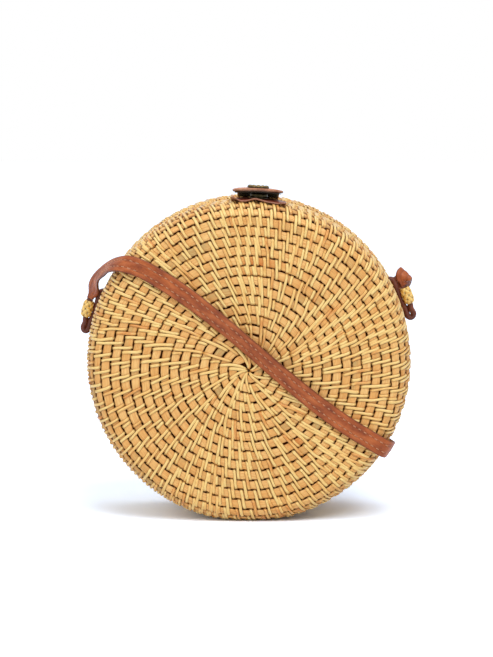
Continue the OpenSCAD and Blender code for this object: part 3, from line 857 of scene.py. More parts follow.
FLAP = Section(
    across=np.array([0, 0.02, 0.1, 0.3, 0.5, 0.7, 0.85, 0.95, 0.985, 1,
                     0.985, 0.95, 0.85, 0.7, 0.5, 0.3, 0.1, 0.02]),
    out=np.array([0.5, 0.85, 1, 1, 1, 1, 1, 0.98, 0.85, 0.5,
                  0.12, 0, 0, 0, 0, 0, 0, 0.12]),
    shading_and_wear=np.repeat([1, 0], [10, 8]),
)
CAP = Section(
    across=np.array([0, 0.2, 0.42, 0.55, 0.64, 0.74, 0.84, 0.93, 1, 1, 0.9, 0.3, 0]),
    out=np.array([0.78, 0.76, 0.68, 0.62, 0.72, 0.92, 1, 0.86, 0.5, 0.2, 0.05, 0.05, 0.05]),
    shading_and_wear=np.array([0, 0, 0, 0, 0.4, 1, 1, 1, 0.4, 0, 0, 0, 0]),
)


@dataclass
class StakeLayout:
    """Where the stakes cross every turn of the coiled rows.

    Stakes are numbered along the coil. One stake in three passes under the row, and each
    turn holds one more than a multiple of three, so the pattern walks by one stake a turn.
    New stakes come in by threes as the turns grow.
    """

    form: ShellForm
    seed: int
    row_aim: float = 0.0062
    spacing: float = 0.00248
    slant: float = math.radians(14.0)
    seam_angle: float = math.radians(198.0)
    jitter_share: float = 0.05
    pair_share: float = 0.09
    relax_steps: int = 6
    crowded: int = 6
    lean_from: float = 0.003
    turns: int = field(init=False)
    pitch: float = field(init=False)
    turn: Array = field(init=False)
    angle: Array = field(init=False)
    outer: Array = field(init=False)
    inner: Array = field(init=False)

    def __post_init__(self) -> None:
        """Grows the stakes turn by turn from the middle."""
        self.turns = round(self.form.length / self.row_aim)
        self.pitch = self.form.length / self.turns
        rng = random.Random(self.seed)
        count = self.count_at(0)
        angles = (np.arange(count) + 0.5) * math.tau / count
        rings, links = [angles], []
        for k in range(1, self.turns):
            angles, parents = self.grown(angles, self.count_at(k), k, rng)
            rings.append(angles)
            links.append(parents)
        starts = np.cumsum([0] + [len(r) for r in rings])
        self.turn = np.concatenate([np.full(len(r), k) for k, r in enumerate(rings)])
        self.angle = np.concatenate(rings)
        self.outer = np.full(len(self.turn), -1)
        self.inner = np.full(len(self.turn), -1)
        for k, parents in enumerate(links):
            for i, parent in enumerate(parents):
                if parent >= 0:
                    self.outer[starts[k] + parent] = starts[k + 1] + i
                    self.inner[starts[k + 1] + i] = starts[k] + parent

    def count_at(self, k: int) -> int:
        """Number of stakes in a turn."""
        radius = float(self.form.meridian(np.array(self.pitch * (k + 1)))[0])
        return 1 + GROUP * round((math.tau * radius / self.spacing - 1) / GROUP)

    def new_gaps(self, groups: int, room: int, k: int) -> set[int]:
        """Gaps in which new stakes come in.

        Args:
            groups: how many groups come in.
            room: how many gaps there are.
            k: number of the next turn.

        Returns:
            The chosen gaps, each by the stake before it.
        """
        chosen: set[int] = set()
        for group in range(groups):
            base = int((group + (GOLDEN_SHARE * k) % 1.0) * room / groups)
            step = 1 if room // groups < self.crowded else 2
            for member in range(GROUP):
                gap = (base + member * step) % room
                while gap in chosen:
                    gap = (gap + 1) % room
                chosen.add(gap)
        return chosen

    def grown(self, angles: Array, count: int, k: int, rng: random.Random) -> tuple[Array, list[int]]:
        """Stakes of the next turn.

        Args:
            angles: the stakes of this turn.
            count: how many the next turn holds.
            k: number of the next turn.
            rng: source of the small irregularities.

        Returns:
            Their angles, and for each the number of the stake that it continues, or -1.
        """
        chosen = self.new_gaps((count - len(angles)) // GROUP, len(angles) - 1, k)
        wider: list[float] = []
        parents: list[int] = []
        for j, angle in enumerate(angles):
            wider.append(float(angle))
            parents.append(j)
            if j in chosen:
                wider.append(float(angle + angles[j + 1]) / 2)
                parents.append(-1)
        spread = np.array(wider)
        for _ in range(self.relax_steps):
            spread[1:-1] = (spread[1:-1] + (spread[:-2] + spread[2:]) / 2) / 2
            spread[0] += (math.pi / count - spread[0]) / 2
            spread[-1] += (math.tau - math.pi / count - spread[-1]) / 2
        gap = math.tau / count * self.jitter_share
        spread[1:-1] += np.array([rng.uniform(-gap, gap) for _ in spread[1:-1]])
        return spread, parents

    def middle(self, turn: Array) -> Array:
        """Length along the meridian of a row's middle, at a number of turns."""
        return self.pitch * (turn + 0.5)

    def lean(self, s: Array) -> Array:
        """Angle by which the stakes lean round the bag at a length along the meridian."""
        face = np.log(np.clip(s, self.lean_from, self.form.face_r) / self.form.face_r)
        wall = np.maximum(s - self.form.face_r, 0.0) / self.form.outer_r
        return math.tan(self.slant) * (face + wall)

    def shown_angle(self) -> Array:
        """Angle of each crossing, where the two stakes that show side by side close up."""
        counts = np.bincount(self.turn)[self.turn]
        shift = np.array([1.0, -1.0, 0.0])[np.arange(len(self.turn)) % GROUP]
        return self.angle + shift * self.pair_share * math.tau / counts

    def hidden(self) -> Array:
        """True for each crossing where the stake passes under the row."""
        return np.arange(len(self.turn)) % GROUP == GROUP - 1


@dataclass
class WovenHalf:
    """One woven half: coiled reed rows, cane stitches over them and, behind, a dark sheet of painted shade
    seen through the gaps.
    """

    half: Half
    form: ShellForm
    palette: Palette
    seeds: tuple[int, int] = (11, 23)
    row_gap: float = 0.0009
    wall_gap: float = 0.0008
    gap_drift: float = 0.00013
    drift_limit: float = 0.00022
    row_t: float = 0.0011
    row_lift: float = -0.0006
    row_end: float = 0.02
    wave: float = 0.0002
    crown: float = 0.00016
    wall_crown: float = 0.0009
    wall_lift: float = 0.0007
    row_tone: float = 0.4
    row_tone_drift: float = 0.16
    tone_knots: int = 420
    # Painted shade of the rows: the level where a row sinks under a stitch, the least at a row's edge on the
    # face, and the powers that set how wide the shaded edge is on the face and on the wall.
    sunk_shade_level: float = 0.72
    face_edge_shade: float = 0.3
    face_edge: float = 7.0
    wall_edge: float = 1.8
    ruddy_place: tuple[float, float] = (0.007, 0.062)
    ruddy_size: tuple[float, float] = (0.02, 0.013)
    ruddy_tone: float = 0.3
    stitch_w: float = 0.00202
    stitch_w_drift: float = 0.07
    stitch_t: float = 0.00066
    stitch_lift: float = -0.00052
    stitch_lift_drift: float = 0.00005
    stitch_reach: float = 0.0001
    stitch_steps: int = 12
    stitch_tone: float = 0.52
    stitch_tone_drift: float = 0.17
    dive: float = 0.0016
    dive_run: float = 0.001
    # Painted shade of the stitches: the level where they dip into the gaps, and how much darker they are on
    # the wall.
    dive_shade_level: float = 0.3
    wall_shade_share: float = 0.25
    middle_from: float = 0.0004
    middle_share: float = 0.15
    slim_share: float = 0.45
    slim_run: float = 0.012
    core_lift: float = -0.0022
    core_t: float = 0.0008
    core_from: float = 0.0005
    core_wall_from: float = 0.003
    core_steps: int = 144
    stakes: StakeLayout = field(init=False)
    rng: np.random.Generator = field(init=False)

    def __post_init__(self) -> None:
        """Lays the stakes out and starts this half's own random numbers."""
        seed = self.seeds[list(Half).index(self.half)]
        self.stakes = StakeLayout(self.form, seed)
        self.rng = np.random.default_rng(seed)

    def build(self) -> None:
        """Builds the three pieces, which stand for the face and the wall of this half."""
        rows = self.rows()
        for piece in (rows, self.stitches(), self.core()):
            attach(piece, self.half.body)
        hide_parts(f"{self.half.value}_face", f"{self.half.value}_wall")

    def row_edges(self, along: Array) -> tuple[Array, Array]:
        """Inner and outer edge of the reed at numbers of turns, as lengths along the meridian."""
        slack = self.rng.normal(0.0, self.gap_drift, (2, len(along) // 2 + 2))
        slack = np.repeat(np.clip(slack, -self.drift_limit, self.drift_limit), 2, axis=1)[:, :len(along)]
        low, high = self.stakes.pitch * along, self.stakes.pitch * (along + 1)
        low = low + self.gap(low) / 2 + slack[0]
        high = np.minimum(high - self.gap(high) / 2 + slack[1], self.form.length)
        return np.minimum(low, high - self.row_gap), high

    def rows(self) -> bpy.types.Object:
        """The coiled rows: one flat reed that bulges where a stake passes under it."""
        stakes = self.stakes
        turn = stakes.turn + stakes.angle / math.tau
        between = (turn[:-1] + turn[1:]) / 2
        along = np.sort(np.concatenate([turn, between, [0.0, stakes.turns - self.row_end]]))
        height = np.interp(along, turn, np.where(stakes.hidden(), 1.0, -1.0))[:, None]
        low, high = self.row_edges(along)
        middle = (low + high) / 2
        side = ROW.across * (high - low)[:, None] / 2
        s = middle[:, None] + side
        theta = stakes.seam_angle + math.tau * along[:, None] + stakes.lean(s)
        turned = self.form.turned(middle)[:, None]
        crest = self.row_lift + self.wave * height + self.wall_lift * turned
        crown = (self.crown + self.wall_crown * turned) * ROW.across ** 2 * (ROW.out > 0)
        points = self.form.place(self.half, s, theta, crest - self.row_t + self.row_t * ROW.out - crown)
        radius = self.form.meridian(middle)[0]
        travel = np.cumsum(np.concatenate([[0.0], np.diff(along)]) * math.tau * radius)
        grain = stacked(travel[:, None], side, np.floor(along)[:, None])
        knots = np.linspace(0, stakes.turns, self.tone_knots)
        tones = np.interp(along, knots, self.rng.normal(self.row_tone, self.row_tone_drift, len(knots)))
        tones = tones + self.ruddy(points[:, 3])
        # Painted shade: each row darkens towards its edges along the gaps, over a wider band on the wall
        # where the gaps are seen at a low angle, where it sinks under the stitches, and on its underside.
        edge = 1.0 - np.abs(ROW.across) ** (self.face_edge - (self.face_edge - self.wall_edge) * turned)
        edge_shade_floor = self.face_edge_shade * (1.0 - turned)
        open_share = 0.5 + 0.5 * height
        shading_and_wear = self.sunk_shade_level + (1.0 - self.sunk_shade_level) * open_share
        shading_and_wear = shading_and_wear * (edge_shade_floor + (1.0 - edge_shade_floor) * edge) * ROW.shading_and_wear
        loft = Loft.of(points[:, ::-1], grain[:, ::-1], tones[:, None], shading_and_wear[:, ::-1])
        return loft.piece(f"{self.half.value}_reed_rows", self.palette.get(ReedFinish()), "reed")

    def gap(self, s: Array) -> Array:
        """Width of the gap between two rows, which opens as the weave turns over the shoulder."""
        return self.row_gap + self.wall_gap * self.form.turned(s)

    def ruddy(self, points: Array) -> Array:
        """Extra tone of the redder reed in a patch over the middle of the front.

        Args:
            points: XYZ of each place.

        Returns:
            What is added to the tone there.
        """
        if self.half is Half.BACK:
            return np.zeros(len(points))
        x = (points[:, 0] - self.ruddy_place[0]) / self.ruddy_size[0]
        z = (points[:, 2] - self.form.axis_z - self.ruddy_place[1]) / self.ruddy_size[1]
        return self.ruddy_tone * np.exp(-(x ** 2 + z ** 2))

    def floats(self) -> list[list[int]]:
        """Runs of crossings where one stake shows over neighbouring rows."""
        shown = ~self.stakes.hidden()
        runs = []
        for start in np.nonzero(shown)[0]:
            before = self.stakes.inner[start]
            if before >= 0 and shown[before]:
                continue
            run = [int(start)]
            while self.stakes.outer[run[-1]] >= 0 and shown[self.stakes.outer[run[-1]]]:
                run.append(int(self.stakes.outer[run[-1]]))
            runs += [run[i:i + GROUP] for i in range(0, len(run), GROUP)]
        return runs

    def stitch_paths(self, runs: list[list[int]]) -> tuple[Array, Array]:
        """Lengths along the meridian and angles of every stitch's stations.

        Args:
            runs: the crossings that each stitch covers.

        Returns:
            Both, with a row for each stitch.
        """
        stakes = self.stakes
        middle = stakes.middle(stakes.turn + stakes.angle / math.tau)
        bare = stakes.seam_angle + stakes.shown_angle()
        reach = stakes.pitch / 2 + self.stitch_reach
        s = np.zeros((len(runs), self.stitch_steps))
        theta = np.zeros_like(s)
        for i, run in enumerate(runs):
            start = middle[run[0]] - reach
            if stakes.turn[run[0]] == 0:
                start = self.middle_from + self.middle_share * (start + self.stitch_reach)
            end = min(middle[run[-1]] + reach, self.form.length)
            chain = [c for c in (stakes.inner[run[0]], *run, stakes.outer[run[-1]]) if c >= 0]
            s[i] = start + (end - start) * np.linspace(0.0, 1.0, self.stitch_steps)
            theta[i] = np.interp(s[i], middle[chain], bare[chain]) + stakes.lean(s[i])
        return s, theta

    def stitches(self) -> bpy.types.Object:
        """The cane stitches: half-round strips that dip into the gap at both ends."""
        runs = self.floats()
        s, theta = self.stitch_paths(runs)
        up = smoothstep(np.minimum(s - s[:, :1], s[:, -1:] - s) / self.dive_run)
        drift = self.rng.normal(0.0, self.stitch_lift_drift, (len(runs), 1))
        turned = self.form.turned(s)
        height = self.stitch_lift - self.dive * (1.0 - up) + drift + self.wall_lift * turned
        normal = self.form.normal(self.half, s, theta)
        centre = self.form.place(self.half, s, theta, height)
        along = unit(np.gradient(centre, axis=1))
        across = unit(np.cross(normal, along))
        width = self.stitch_w * (1.0 + self.rng.normal(0.0, self.stitch_w_drift, (len(runs), 1, 1))) / 2
        width = width * np.minimum(1.0, self.slim_share + s[..., None] / self.slim_run)
        points = off_floor(centre[:, :, None] + across[:, :, None] * (width * STITCH.across)[..., None]
                           + normal[:, :, None] * (self.stitch_t * STITCH.out)[:, None])
        tones = np.clip(self.rng.normal(self.stitch_tone, self.stitch_tone_drift, len(runs)), 0.0, 1.0)
        # Painted shade: each stitch darkens at its edges, where it dips into the gaps at its ends, and over
        # the shoulder and the wall.
        stitch_shading = self.dive_shade_level + (1.0 - self.dive_shade_level) * up * (1.0 - self.wall_shade_share * turned)
        loft = Loft()
        for i in range(len(runs)):
            grain = stacked(s[i][:, None], width[i] * STITCH.across, i * GRAIN_STEP)
            loft.grid(points[i], grain, tones[i], STITCH.shading_and_wear * stitch_shading[i][:, None])
        return loft.piece(f"{self.half.value}_cane_stitches", self.palette.get(CaneFinish()), "cane")

    def core(self) -> bpy.types.Object:
        """The closed dark sheet between the rows and the lining: painted shade, seen through the gaps."""
        face_r, wall_from = self.form.face_r, self.form.face_r + self.form.bend
        s = np.concatenate([np.linspace(self.core_from, face_r, 16),
                            face_r + np.linspace(0.1, 1.0, 8) * self.form.bend,
                            np.linspace(wall_from + self.core_wall_from, self.form.length, 6)])
        profile = np.concatenate([s, s[::-1]])
        lift = self.core_lift - self.core_t * (np.arange(len(profile)) >= len(s))
        profile, theta, lift = np.broadcast_arrays(profile, around(self.core_steps)[:, None], lift)
        points = self.form.place(self.half, profile, theta, lift)
        loft = Loft.of(points, points, loop=True)
        return loft.piece(f"{self.half.value}_weave_core", self.palette.get(GapShadeFinish()), "reed")


@dataclass(frozen=True)
class HoopSize:
    """Sizes of one half's hoop, as the frame gives them."""

    cane_r: float
    ring_r: float
    middle_y: float

    @classmethod
    def of(cls, half: Half) -> HoopSize:
        """Reads the hoop of a half from the frame."""
        low, high = box(f"{half.value}_hoop")
        cane_r = (high[1] - low[1]) / 2
        return cls(cane_r, (high[0] - low[0]) / 2 - cane_r, (high[1] + low[1]) / 2)


@dataclass
class SeamHoop:
    """The hoop along one half's edge, bound with split cane."""

    half: Half
    form: ShellForm
    palette: Palette
    wrap_w: float = 0.0026
    wrap_steps: int = 5
    section_steps: int = 14
    bulge: float = 0.00022
    tone_drift: float = 0.22
    tone_step: float = 12.9898
    grain_step: float = 0.31
    # Painted shade in the crevices between the wraps.
    crevice_shade_level: float = 0.25

    def build(self) -> None:
        """Builds the bound hoop in the place of the plain one."""
        size = HoopSize.of(self.half)
        wraps = round(math.tau * size.ring_r / self.wrap_w)
        theta = around(wraps * self.wrap_steps)[:, None]
        turn = around(self.section_steps)[None, :]
        wrap = theta * wraps / math.tau + turn / math.tau
        edge = 1.0 - (2.0 * (wrap % 1.0) - 1.0) ** 4
        number = np.floor(wrap)
        r = size.cane_r - self.bulge * (1.0 - edge)
        out = size.ring_r + r * np.cos(turn)
        points = off_floor(stacked(out * np.cos(theta), size.middle_y + r * np.sin(turn),
                                   self.form.axis_z + out * np.sin(theta)))
        tones = 0.5 + self.tone_drift * np.sin(number * self.tone_step)
        grain = stacked(r * turn, size.ring_r * theta, number * self.grain_step)
        # Painted shade: the cane's edge colour comes in where each wrap meets the next.
        loft = Loft.of(points, grain, tones, self.crevice_shade_level + (1.0 - self.crevice_shade_level) * edge, loop=True)
        hoop = loft.piece(f"{self.half.value}_bound_hoop", self.palette.get(CaneFinish()), "cane")
        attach(hoop, self.half.body)
        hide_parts(f"{self.half.value}_hoop")


@dataclass
class HingeLacing:
    """Loops of split cane round both hoops at the seam."""

    form: ShellForm
    palette: Palette
    count: int = 4
    loop_w: float = 0.0022
    loop_t: float = 0.0011
    fit: float = 0.0003
    seat: float = 0.0001
    angle: float = math.radians(21.0)
    bend_run: float = 0.0015
    arc_steps: int = 15
    flat_steps: int = 5
    grain_pitch: float = 0.0006
    tones: Triple = (0.4, 0.48, 0.56)

    def build(self) -> None:
        """Builds all the loops as one piece in the place of the plain ones."""
        step = (self.loop_w + 2 * self.fit) / self.form.outer_r
        rows = (np.arange(self.count) - (self.count - 1) / 2) * step
        loft = Loft()
        for side in (-1.0, 1.0):
            for number, row in enumerate(rows):
                points, grain = self.loop(-math.pi / 2 + side * self.angle + row)
                tone = self.tones[number % len(self.tones)]
                loft.grid(points, grain + GRAIN_STEP * number, tone, CANE_LOOP.shading_and_wear, loop=True)
        lacing = loft.piece("hinge_cane_loops", self.palette.get(CaneFinish()), "cane")
        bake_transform(lacing)
        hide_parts("hinge_lacings")

    def loop(self, theta: float) -> tuple[Array, Array]:
        """Surface of one loop.

        Args:
            theta: its angle round the seam.

        Returns:
            Its points and its grain.
        """
        size = HoopSize.of(Half.BACK)
        arc = np.radians(np.linspace(-90, 90, self.arc_steps))
        flat = np.linspace(1.0, -1.0, self.flat_steps + 2)[1:-1]
        quarter = np.full(self.flat_steps, math.pi / 2)
        turn = np.concatenate([arc, quarter, arc + math.pi, -quarter])[:, None]
        bow = np.ones(self.arc_steps)
        middle = np.concatenate([bow, flat, -bow, -flat])[:, None] * size.middle_y
        across = CANE_LOOP.across * self.loop_w / 2
        height = CANE_LOOP.out * self.loop_t
        reach = size.cane_r + self.seat + height
        out = size.ring_r + reach * np.sin(turn)
        points = stacked(out * math.cos(theta) - across * math.sin(theta), middle + reach * np.cos(turn),
                         self.form.axis_z + out * math.sin(theta) + across * math.cos(theta))
        return points, stacked(np.arange(len(turn))[:, None] * self.grain_pitch, across, height)


@dataclass
class Lining:
    """Cotton lining of one half: a disc and a band, glued in with a few soft wrinkles.

    Each wrinkle is a count round the disc, a share of the depth and a start angle.
    """

    half: Half
    form: ShellForm
    palette: Palette
    thickness: float = 0.0008
    corner_r: float = 0.0051
    wrinkle: float = 0.00035
    wrinkle_from: float = 0.75
    wrinkle_run: float = 0.2
    centre_r: float = 0.0001
    disc_steps: int = 18
    corner_steps: int = 6
    band_steps: int = 6
    round_steps: int = 180

    WRINKLES = ((7, 1.0, 0.0), (17, 0.6, 1.3), (31, 0.4, 0.4))

    def build(self) -> None:
        low, high = box(f"{self.half.value}_lining")
        outer = (high[0] - low[0]) / 2
        near, far = sorted((abs(low[1]), abs(high[1])))
        corner = np.linspace(0.0, math.pi / 2, self.corner_steps + 1)[1:]
        flat = outer - self.corner_r
        radius = np.concatenate([np.linspace(self.centre_r, flat, self.disc_steps),
                                 flat + self.corner_r * np.sin(corner), np.full(self.band_steps, outer)])
        height = np.concatenate([np.full(self.disc_steps, far), far - self.corner_r * (1 - np.cos(corner)),
                                 np.linspace(far - self.corner_r, near, self.band_steps + 1)[1:]])
        theta = around(self.round_steps)[:, None]
        fold = sum(share * np.sin(count * theta + start) for count, share, start in self.WRINKLES)
        at_wall = np.clip((radius / outer - self.wrinkle_from) / self.wrinkle_run, 0.0, 1.0)
        dent = self.wrinkle * (1.0 + fold / 2) * at_wall
        layers = []
        for inset, push in ((0.0, 0.0), (self.thickness, 1.0)):
            r = np.minimum(radius, outer - inset) - push * dent
            layers.append(stacked(r * np.cos(theta), self.half.side * np.minimum(height, far - inset),
                                  self.form.axis_z + r * np.sin(theta)))
        points = np.concatenate([layers[0], layers[1][:, ::-1]], axis=1)
        run = radius + (far - height)
        run = np.concatenate([run, run[::-1]])
        loft = Loft.of(points, stacked(run * np.cos(theta), run * np.sin(theta), 0.0), loop=True)
        name = f"{self.half.value}_cotton_lining"
        lining = loft.piece(name, self.palette.get(ClothFinish()), "lining_cloth")
        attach(lining, self.half.body)
        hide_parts(f"{self.half.value}_lining")


@dataclass
class Gusset:
    """Gore of cotton folded inwards between the linings on one side."""

    flank: Flank
    form: ShellForm
    palette: Palette
    top_angle: float = math.radians(12.0)
    foot_angle: float = math.radians(-56.0)
    fold_depth: float = 0.0337
    leaf: float = 0.0009
    leaf_spread: float = 2.2
    inset: float = 0.0003
    thickness: float = 0.0004
    ripple: float = 0.00015
    ripples: float = 9.0
    spare_cloth: float = 1.25
    steps: int = 70
    fold_steps: int = 14

    def build(self) -> None:
        """Builds the folded gore, which spans both halves."""
        low, high = box(f"{self.flank.value}_gusset")
        outer = max(abs(low[0]), abs(high[0])) - self.inset
        inner = outer - self.fold_depth
        theta = np.linspace(self.foot_angle, self.top_angle, self.steps)[:, None]
        inwards = outer + (inner - outer) * np.linspace(0.0, 1.0, self.fold_steps)
        radius = np.concatenate([inwards, inwards[::-1][1:]])
        offset = self.leaf * np.cos(np.linspace(0.0, math.pi, len(radius)))
        offset = np.clip(offset * self.leaf_spread, -self.leaf, self.leaf)
        depth = np.sin(math.pi * (radius - inner) / (outer - inner))
        ripple = self.ripple * np.sin(self.ripples * theta) * depth
        layers = []
        for side in (-0.5, 0.5):
            y = offset * (1.0 - side * self.thickness / self.leaf) + ripple
            r = radius + side * self.thickness * (1.0 - np.abs(offset) / self.leaf)
            layers.append(stacked(self.flank.sign * r * np.cos(theta), y,
                                  self.form.axis_z + r * np.sin(theta)))
        points = np.concatenate([layers[0], layers[1][:, ::-1]], axis=1)
        if self.flank is Flank.RIGHT:
            points = points[:, ::-1]
        loft = Loft.of(points, points * np.array([1.0, 12.0, 1.0]))
        name = f"{self.flank.value}_cotton_gusset"
        gusset = loft.piece(name, self.palette.get(ClothFinish()), "lining_cloth")
        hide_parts(f"{self.flank.value}_gusset")
        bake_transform(gusset)


@dataclass
class Band:
    """Flat band swept along frames: places, its outward normals and its widths."""

    places: Array
    normals: Array
    widths: Array
    thickness: float
    swell: Array
    along: Array = field(init=False)
    across: Array = field(init=False)
    out: Array = field(init=False)
    travel: Array = field(init=False)

    FRAME = ("places", "normals", "widths", "swell", "along", "across", "out", "travel")

    def __post_init__(self) -> None:
        """Squares each frame to the band's direction."""
        self.along = unit(np.gradient(self.places, axis=0))
        self.across = unit(np.cross(self.normals, self.along))
        self.out = unit(np.cross(self.along, self.across))
        steps = np.linalg.norm(np.diff(self.places, axis=0), axis=1)
        self.travel = np.concatenate([[0.0], np.cumsum(steps)])

    def part(self, first: int, last: int) -> Band:
        """The same band between two of its frames, with the frames kept as they are."""
        cut = copy(self)
        for name in self.FRAME:
            setattr(cut, name, getattr(self, name)[first:last + 1])
        return cut

    def surface(self, section: Section) -> Loft:
        """Mesh of the band's surface with a section."""
        half_w = self.widths[:, None] / 2 * section.across
        half_t = self.thickness / 2 * self.swell[:, None] * section.out
        points = (self.places[:, None] + self.across[:, None] * half_w[..., None]
                  + self.out[:, None] * half_t[..., None])
        return Loft.of(points, stacked(self.travel[:, None], half_w, half_t), 0.5, section.shading_and_wear, crisp=True)

    def frame_at(self, travel: Array) -> tuple[Array, Array, Array, Array]:
        """Frames between the band's own ones.

        Args:
            travel: lengths along the band.

        Returns:
            Places, directions across and out, and widths there.
        """
        def at(values: Array) -> Array:
            """Values at the lengths, part by part."""
            parts = [np.interp(travel, self.travel, values[:, i]) for i in range(3)]
            return np.stack(parts, axis=-1)

        widths = np.interp(travel, self.travel, self.widths)
        return at(self.places), unit(at(self.across)), unit(at(self.out)), widths


@dataclass(frozen=True)
class SewnRows:
    """Two rows of thread along a band, as single stitches sunk at both ends."""

    row_share: float = 0.41
    pitch: float = 0.0039
    length: float = 0.0027
    end_share: float = 0.55
    thread_r: float = 0.00032
    sink_share: float = 2.2
    taper_share: float = 0.35
    outer_share: float = 0.84
    inner_share: float = 1.02
    full_share: float = 0.985
    stations: int = 5
    section_steps: int = 6

    def middles(self, band: Band) -> Array:
        """Lengths along the band at which its stitches have their middles."""
        start = math.ceil((band.travel[0] + self.end_share * self.length) / self.pitch)
        end = math.floor((band.travel[-1] - self.end_share * self.length) / self.pitch)
        middles = np.arange(start, end + 1) * self.pitch
        return middles[np.interp(middles, band.travel, band.widths) > self.full_share * band.widths.max()]

    def mesh(self, band: Band) -> Loft:
        """Mesh of the stitches of both rows.

        Args:
            band: the band that they are sewn through.

        Returns:
            Their mesh.
        """
        shares = np.linspace(-0.5, 0.5, self.stations)
        travel = self.middles(band)[:, None] + shares * self.length
        frame = band.frame_at(travel.reshape(-1))
        places, across, out = (values.reshape(*travel.shape, 3) for values in frame[:3])
        widths = frame[3].reshape(travel.shape)
        turn = around(self.section_steps)
        sink = (2.0 * shares) ** 4 * self.thread_r * self.sink_share
        taper = self.thread_r * (1.0 - self.taper_share * (2.0 * shares) ** 2)[None, :, None, None]
        ring = taper * (across[:, :, None] * np.cos(turn)[:, None] + out[:, :, None] * np.sin(turn)[:, None])
        loft = Loft()
        for side, share in ((1.0, self.outer_share), (-1.0, self.inner_share)):
            level = side * (band.thickness / 2 * share - sink)
            for row in (-1.0, 1.0):
                off = across * (row * self.row_share * widths / 2)[..., None]
                centre = places + off + out * level[None, :, None]
                for points, along in zip(off_floor(centre[:, :, None] + ring), travel, strict=True):
                    loft.grid(points, stacked(along[:, None], self.thread_r * turn, 0.0))
        return loft


@dataclass(frozen=True)
class SideRing:
    """Place and sizes of one side ring and of the thong through it."""

    flank: Flank
    bag_r: float
    axis_z: float
    angle: float
    ring_h: float = 0.0105
    ring_wall: float = 0.0024
    ring_back: float = 0.0084
    thong_w: float = 0.0055
    thong_t: float = 0.0019
    thong_air: float = 0.0006
    fit: float = 0.0003
    facing: float = math.radians(45.0)
    pinch: float = 0.16
    waist: float = 0.26
    loop_swell: float = 2.0

    @property
    def bore(self) -> float:
        """Width of the opening that the thong passes."""
        return self.thong_t + 2 * self.fit

    @property
    def ring_r(self) -> float:
        """Radius of the ring's round ends."""
        return self.bore / 2 + self.ring_wall

    @property
    def strip_off(self) -> float:
        """Distance of the thong that runs up the wall."""
        return self.thong_air + self.thong_t / 2

    @property
    def ring_off(self) -> float:
        """Distance of the ring's middle from the wall."""
        return self.strip_off + self.thong_t / 2 + self.fit + self.ring_r

    @property
    def thong_end(self) -> float:
        """Height of the thong's upper end over the ring's middle."""
        return self.ring_h / 2 + self.thong_t / 2

    def point(self, out: Array | float, up: Array | float, fore: Array | float = 0.0) -> Array:
        """Points beside the wall.

        Args:
            out: distance off the wall.
            up: distance up the wall from the ring's middle.
            fore: distance to the front of the ring's middle.

        Returns:
            XYZ of each point.
        """
        radius = self.bag_r + np.asarray(out)
        x = radius * math.cos(self.angle) - np.asarray(up) * math.sin(self.angle)
        z = radius * math.sin(self.angle) + np.asarray(up) * math.cos(self.angle)
        return stacked(self.flank.sign * x, self.ring_back - np.asarray(fore), self.axis_z + z)


